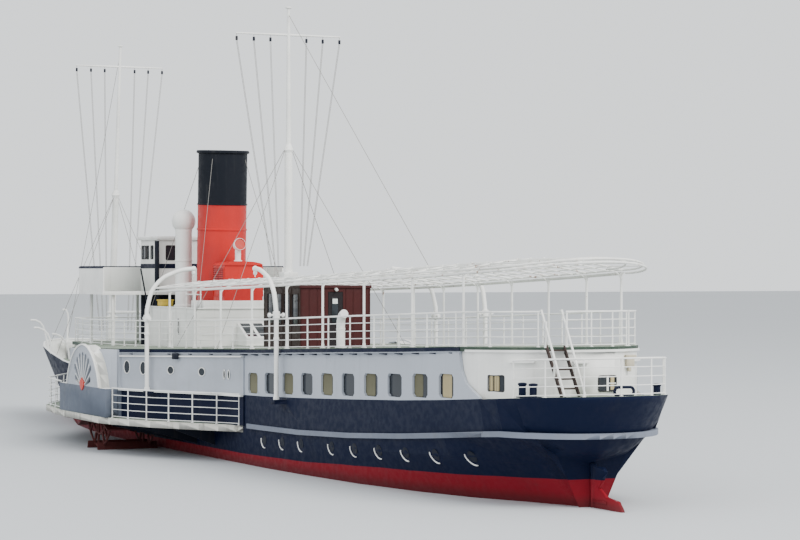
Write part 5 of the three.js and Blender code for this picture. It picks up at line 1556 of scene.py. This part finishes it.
class STEAMER_OT_awning(SteamerOperator, bpy.types.Operator):
    """Bare awning frame of ribs and laths on forked stanchions"""

    bl_idname = "steamer.awning"
    bl_label = "Awning frame"

    RIBS = ((3.95, 3.94),) + STANCHIONS
    LAST = -22.20

    def height(self, x, share):
        return deck_z(max(x, self.LAST)) + AWNING_HEIGHT + AWNING_CAMBER * (1 - share * share)

    def make(self):
        f = FINISH
        steps = [k / 12 * 2 - 1 for k in range(13)]
        ribs = [[(x, y * t, self.height(x, t)) for t in steps] for x, y in self.RIBS]
        laths, edges = [], []
        for (xa, ya), (xb, yb) in zip(self.RIBS, self.RIBS[1:]):
            for part in (1 / 3, 2 / 3):
                xm, ym = xa + (xb - xa) * part, ya + (yb - ya) * part
                laths.append([(xm, ym * t, self.height(xm, t) - 0.01) for t in steps])
        count = sizes().laths
        shares = [2 * k / (count - 1) - 1 for k in range(count)]
        last_y = self.RIBS[-1][1]
        bow = AWNING_END[2]
        for t in shares:
            run = [(x, y * t, self.height(x, t) + 0.015) for x, y in self.RIBS]
            if abs(t) > 0.99:
                edges.append(run)
                edges.append([(x, y + 0.07 * t, z - 0.13) for x, y, z in run])
                continue
            u = last_y * t / bow
            x = AWNING_END[0] - AWNING_END[1] * math.sqrt(1 - u * u)
            run.append((x, bow * u, self.height(x, u) + 0.015))
            laths.append(run)
        turns = [math.radians(7.5 + 165 * k / 24) for k in range(25)]
        for grow, drop in ((0.0, 0.0), (0.10, 0.10), (-0.55, -0.02)):
            edges.append([(AWNING_END[0] - (AWNING_END[1] + grow) * math.sin(a),
                           (bow + grow) * math.cos(a),
                           self.height(-26, math.cos(a)) - drop) for a in turns])
        clip = block(-0.05, 0.05, -0.035, 0.035, -0.03, 0.055, 0.01)
        places = [(x, y * t, self.height(x, t)) for x, y in self.RIBS for t in shares]
        clips = copies(clip, places)
        parts = painted(f["rusty"], tubes(ribs, 0.035, 1), tubes(laths, 0.022, 1),
                        tubes(edges, 0.034, 2))
        parts += painted(f["rusty"], *clips)
        assemble("awning_laths", parts, replaces=["awning_frame"])
        for side, word in SIDES:
            self.stanchions(side, word)

    def stanchions(self, side, word):
        f = FINISH
        poles, arms, feet = [], [], []
        for x, y in STANCHIONS:
            top = self.height(x, 1) - 0.07
            poles.append([(x, side * y, deck_z(x) + 0.002), (x, side * y, top)])
            turns = [math.pi / 2 * k / 6 for k in range(7)]
            for reach in (0.16, -0.16):
                arms.append([(x + reach * (1 - math.cos(a)), side * y,
                              top - 0.26 + 0.26 * math.sin(a))
                             for a in turns])
            arms.append([(x, side * (y - 0.40 * (1 - math.cos(a))), top - 0.30 + 0.36 * math.sin(a))
                         for a in turns])
            feet.append(cone((x, side * y, deck_z(x)), (x, side * y, deck_z(x) + 0.03), 0.10,
                             sides=16, soft=0.008))
            feet.append(cone((x, side * y, deck_z(x) + 0.02), (x, side * y, deck_z(x) + 0.16), 0.06,
                             0.046, 16))
        rail = [[(x, side * y, self.height(x, 1) - 0.075) for x, y in STANCHIONS]]
        parts = [tubes(poles, 0.040, 3), tubes(arms, 0.018, 1), tubes(rail, 0.028, 1)] + feet
        assemble("awning_poles_" + word, painted(f["rail"], *parts),
                 replaces=["awning_stanchions_" + word])


class STEAMER_OT_rails(SteamerOperator, bpy.types.Operator):
    """Guard rails round the promenade, the quarterdeck and the sponsons"""

    bl_idname = "steamer.rails"
    bl_label = "Rails"

    PROMENADE = (
        (15.9, 3.55), (13.0, 3.83), (8.0, 3.90), (2.0, 4.08), (-4.0, 4.08), (-7.9, 3.89),
        (-11.6, 3.77), (-15.5, 3.57), (-18.85, 3.27),
    ) + ellipse_side(DECK_END, (-21.6, -22.6, -23.4, -24.0, -24.4, -24.80), 0, 0.08)
    AFT = ellipse_side(DECK_END, (-25.20, -25.29), 0, 0.08) + ((-25.36, 0.0),) + tuple(
        (x, -y) for x, y in ellipse_side(DECK_END, (-25.29, -25.20, -25.04, -24.87), 0, 0.08))
    QUARTER_PORT = ellipse_side(
        STERN_END, (-25.10, -25.60, -26.10, -26.50, -26.85, -27.05), 0, 0.07)
    QUARTER = QUARTER_PORT + tuple((x, -y) for x, y in reversed(QUARTER_PORT))
    SPONSON_AFT = ((0.35, 6.76), (-0.2, 6.64), (-1.1, 6.40), (-2.2, 6.0), (-3.5, 5.27),
                   (-4.4, 4.72),
                   (-5.3, 4.20), (-5.95, 3.92))
    SPONSON_FORE = ((6.9, 6.83), (8.0, 6.72), (10.25, 6.42), (12.4, 5.3), (14.3, 4.25))

    def make(self):
        for side, word in SIDES:
            def over(line, side=side):
                return [(x, side * y) for x, y in line]
            self.rail("promenade_guard_" + word, over(self.PROMENADE), deck_z, RAIL_HEIGHT, 1.62,
                      "promenade_rail_" + word)
            self.rail("sponson_guard_aft_" + word, over(self.SPONSON_AFT), lambda x: SPONSON, 1.15,
                      1.15,
                      "sponson_rail_aft_" + word)
            self.rail("sponson_guard_fore_" + word, over(self.SPONSON_FORE), lambda x: SPONSON,
                      1.15, 1.3,
                      "sponson_rail_fore_" + word)
        self.rail("promenade_guard_aft", self.AFT, deck_z, RAIL_HEIGHT, 0.85, "promenade_rail_aft")
        self.rail("promenade_guard_fore", ((15.94, 3.45), (15.94, 0), (15.94, -3.45)), deck_z,
                  RAIL_HEIGHT, 1.38, "promenade_rail_fore")
        self.rail("quarter_guard", self.QUARTER, hull_top, 1.12, 1.2, "quarterdeck_rail")

    def rail(self, name, line, base, height, step, node):
        """Posts and five bars along a line in plan."""
        f = FINISH
        marks = [0.0]
        for (xa, ya), (xb, yb) in zip(line, line[1:]):
            marks.append(marks[-1] + math.hypot(xb - xa, yb - ya))
        columns = [tuple(zip(marks, [p[i] for p in line])) for i in (0, 1)]
        count = max(1, round(marks[-1] / step))
        posts, feet = [], []
        for k in range(count + 1):
            s = min(max(marks[-1] * k / count, 0.03), marks[-1] - 0.03)
            x, y = along(columns[0], s), along(columns[1], s)
            z = base(x)
            posts.append([(x, y, z + 0.002), (x, y, z + height - 0.01)])
            feet.append(cone((x, y, z + 0.001), (x, y, z + 0.025), 0.055, sides=12))
        bars = [[(x, y, base(x) + height * share - 0.015) for x, y in line] for share in RAIL_BARS]
        thick, thin = sizes().rail_radius / HALF, sizes().bar_radius / HALF
        parts = [tubes(posts, 0.024, 1), tubes(bars[:1], thick, 2), tubes(bars[1:], thin, 1)] + feet
        assemble(name, painted(f["rail"], *parts), replaces=[node])


class STEAMER_OT_davits(SteamerOperator, bpy.types.Operator):
    """Four boat davits with cleats and hooks"""

    bl_idname = "steamer.davits"
    bl_label = "Davits"

    FORE = ((-1.60, 6.01), (0.0, -1.0), 5.23)
    AFT = ((-9.95, 4.06), (1.0, 0.04), 5.48)
    BEND = ((0, 5.54), (0.17, 6.22), (0.50, 6.63), (0.91, 6.88), (1.40, 7.05), (1.86, 7.10))

    def make(self):
        for side, word in SIDES:
            for place, (foot, lean, collar) in (("fore", self.FORE), ("aft", self.AFT)):
                body = f"davit_{place}_{word}"
                self.davit(body + "_arm", foot, lean, collar, side, body)

    def davit(self, name, foot, lean, collar, side, body):
        f = FINISH
        x, y = foot
        dx, dy = lean
        reach, height = self.BEND[-1]
        pts = [(x, y, 2.535), (x, y, 4.0), (x, y, 5.30)]
        for k in range(31):
            out = reach * k / 30
            pts.append((x + dx * out, y + dy * out, self.curve(out)))
        arm = tubes([pts], 0.08, 4)
        end = Vector((x + dx * reach, y + dy * reach, height))
        eye = ball(end, 0.10, 10)
        cross = Vector((dy, dx, 0)).normalized()
        hub = Vector((x, y, collar))
        ring = cone(hub + Vector((0, 0, -0.13)), hub + Vector((0, 0, 0.13)), 0.125, sides=24,
                    soft=0.02)
        horn = cone(hub - cross * 0.27, hub + cross * 0.27, 0.035, sides=16, soft=0.01)
        knobs = [cone(hub + cross * s * 0.21, hub + cross * s * 0.30, 0.08, sides=16,
                      soft=0.015) for s in (1, -1)]
        foot_ring = cone((x, y, 2.535), (x, y, 2.64), 0.11, 0.10, 24)
        guide = cone((x, y, 4.6), (x, y, 4.7), 0.10, sides=24, soft=0.01)
        hook = ball(end - Vector((0, 0, 0.15)), 0.07, 10, 1.3)
        link = cone(end - Vector((0, 0, 0.30)), end, 0.022, sides=12)
        parts = painted(f["white"], arm, eye, ring, horn, *knobs, foot_ring, guide, hook, link)
        if side < 0:
            parts = [swapped(part) for part in parts]
        assemble(name, parts, body=body, replaces=[body])

    def curve(self, out):
        """Height of the arm at a reach, smooth between the rows of BEND."""
        z = along(self.BEND, out)
        for (o0, _), (o1, _) in zip(self.BEND, self.BEND[1:]):
            if o0 <= out <= o1:
                t = (out - o0) / (o1 - o0)
                lift = 0.03 * math.sin(math.pi * t) * (1 if o1 < 1.0 else 0.3)
                return z + lift
        return z


class STEAMER_OT_fittings(SteamerOperator, bpy.types.Operator):
    """Stern ladder with its hand rails, and the windlass with its drums"""

    bl_idname = "steamer.fittings"
    bl_label = "Fittings"

    def make(self):
        f = FINISH
        x0, x1, y0, z0, z1, half = -25.10, -26.20, 1.20, 4.95, 3.30, 0.29
        ladder = skin("stern_ladder", f["brown"], flat=True)
        rails = []
        for side in (1, -1):
            y = y0 + side * (half + 0.05)
            rails.append([(x0 + 0.18, y, z0 + 0.88), (x0 + 0.10, y, z0 + 0.90),
                          (x1 - 0.25, y, z1 + 0.06)])
            for t in (0.12, 0.62):
                x = x0 + (x1 - x0) * t
                z = z0 + (z1 - z0) * t
                rails.append([(x, y, z), (x - 0.05, y, z + 0.88 * (1 - t))])
        assemble("stern_ladder_steps", [ladder] + painted(f["rail"], tubes(rails, 0.035, 2)),
                 replaces=["stern_ladder"])
        base = skin("windlass", f["iron"], flat=True)
        drums = []
        for y in (-0.8, 0.8):
            drums.append(cone((25.45, y - 0.2, 2.95), (25.45, y + 0.2, 2.95), 0.30, sides=28,
                              soft=0.03))
        for y in (-0.45, 0.45):
            drums.append(cone((25.45, y - 0.04, 2.95), (25.45, y + 0.04, 2.95), 0.36, sides=28,
                              soft=0.01))
        assemble("windlass_drums", [base] + painted(f["iron"], *drums),
                 replaces=["windlass"])


# Stage


class STEAMER_OT_stage(SteamerOperator, bpy.types.Operator):
    """Floor at the waterline, soft light and the camera"""

    bl_idname = "steamer.stage"
    bl_label = "Stage"

    def make(self):
        deselect()
        bpy.ops.mesh.primitive_plane_add(size=600, location=(0, 0, 0))
        floor = bpy.context.object
        floor.name = "floor"
        material, tree, shader, place = start_material("floor_paint", 0.7)
        tone = ramp(tree, noise(tree, place, 0.05, detail=2), 0.3, 0.7, 0.0, 0.12)
        tree.links.new(blend(tree, tone, (0.50, 0.52, 0.54), (0.45, 0.47, 0.50)),
                       shader.inputs["Base Color"])
        painted(material, floor)
        world = bpy.data.worlds.new("studio")
        world.use_nodes = True
        world.node_tree.nodes["Background"].inputs["Color"].default_value = (0.92, 0.95, 0.97, 1)
        world.node_tree.nodes["Background"].inputs["Strength"].default_value = 1.45
        bpy.context.scene.world = world
        self.lamp("key", (-60, -20, 55), (0, 0, 3), 45, 80000, (1.0, 0.98, 0.95))
        self.lamp("fill", (-30, 70, 40), (0, 0, 3), 60, 22000, (0.93, 0.96, 1.0))
        bpy.ops.object.camera_add(location=(-44.23, 17.43, 3.525),
                                  rotation=(math.radians(90), 0, math.radians(-114.35)))
        camera = bpy.context.object
        camera.data.lens = 108.8
        camera.data.sensor_width = 36
        camera.data.clip_end = 500
        bpy.context.scene.camera = camera

    def lamp(self, name, place, target, size, power, colour):
        bpy.ops.object.light_add(type="AREA", location=place)
        light = bpy.context.object
        light.name = name
        light.rotation_euler = (Vector(target) - Vector(place)).to_track_quat("-Z", "Y").to_euler()
        light.data.size = size
        light.data.energy = power
        light.data.color = colour


class STEAMER_PT_panel(bpy.types.Panel):
    bl_label = "Paddle Steamer"
    bl_idname = "STEAMER_PT_panel"
    bl_space_type = "VIEW_3D"
    bl_region_type = "UI"
    bl_category = "Steamer"

    def draw(self, context):
        for group in (sizes(), colours()):
            box = self.layout.box()
            for key in group.bl_rna.properties.keys():
                if key not in {"rna_type", "name"}:
                    box.prop(group, key)
        for operator in OPERATORS:
            self.layout.operator(operator.bl_idname)


OPERATORS = (
    STEAMER_OT_hull, STEAMER_OT_sides, STEAMER_OT_promenade, STEAMER_OT_stern, STEAMER_OT_sponsons,
    STEAMER_OT_paddle_boxes, STEAMER_OT_wheels, STEAMER_OT_funnel, STEAMER_OT_ventilators,
    STEAMER_OT_casings, STEAMER_OT_deckhouse, STEAMER_OT_bridge, STEAMER_OT_masts,
    STEAMER_OT_awning, STEAMER_OT_rails, STEAMER_OT_davits, STEAMER_OT_fittings, STEAMER_OT_stage,
)
CLASSES = (SteamerSizes, SteamerColours, *OPERATORS, STEAMER_PT_panel)


def register():
    for item in CLASSES:
        bpy.utils.register_class(item)
    bpy.types.Scene.steamer_sizes = PointerProperty(type=SteamerSizes)
    bpy.types.Scene.steamer_colours = PointerProperty(type=SteamerColours)


def unregister():
    del bpy.types.Scene.steamer_colours
    del bpy.types.Scene.steamer_sizes
    for item in reversed(CLASSES):
        bpy.utils.unregister_class(item)


def main():
    register()
    mix_finishes()
    for operator in OPERATORS:
        group, name = operator.bl_idname.split(".")
        getattr(getattr(bpy.ops, group), name)()
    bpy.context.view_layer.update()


if __name__ == "__main__":
    main()
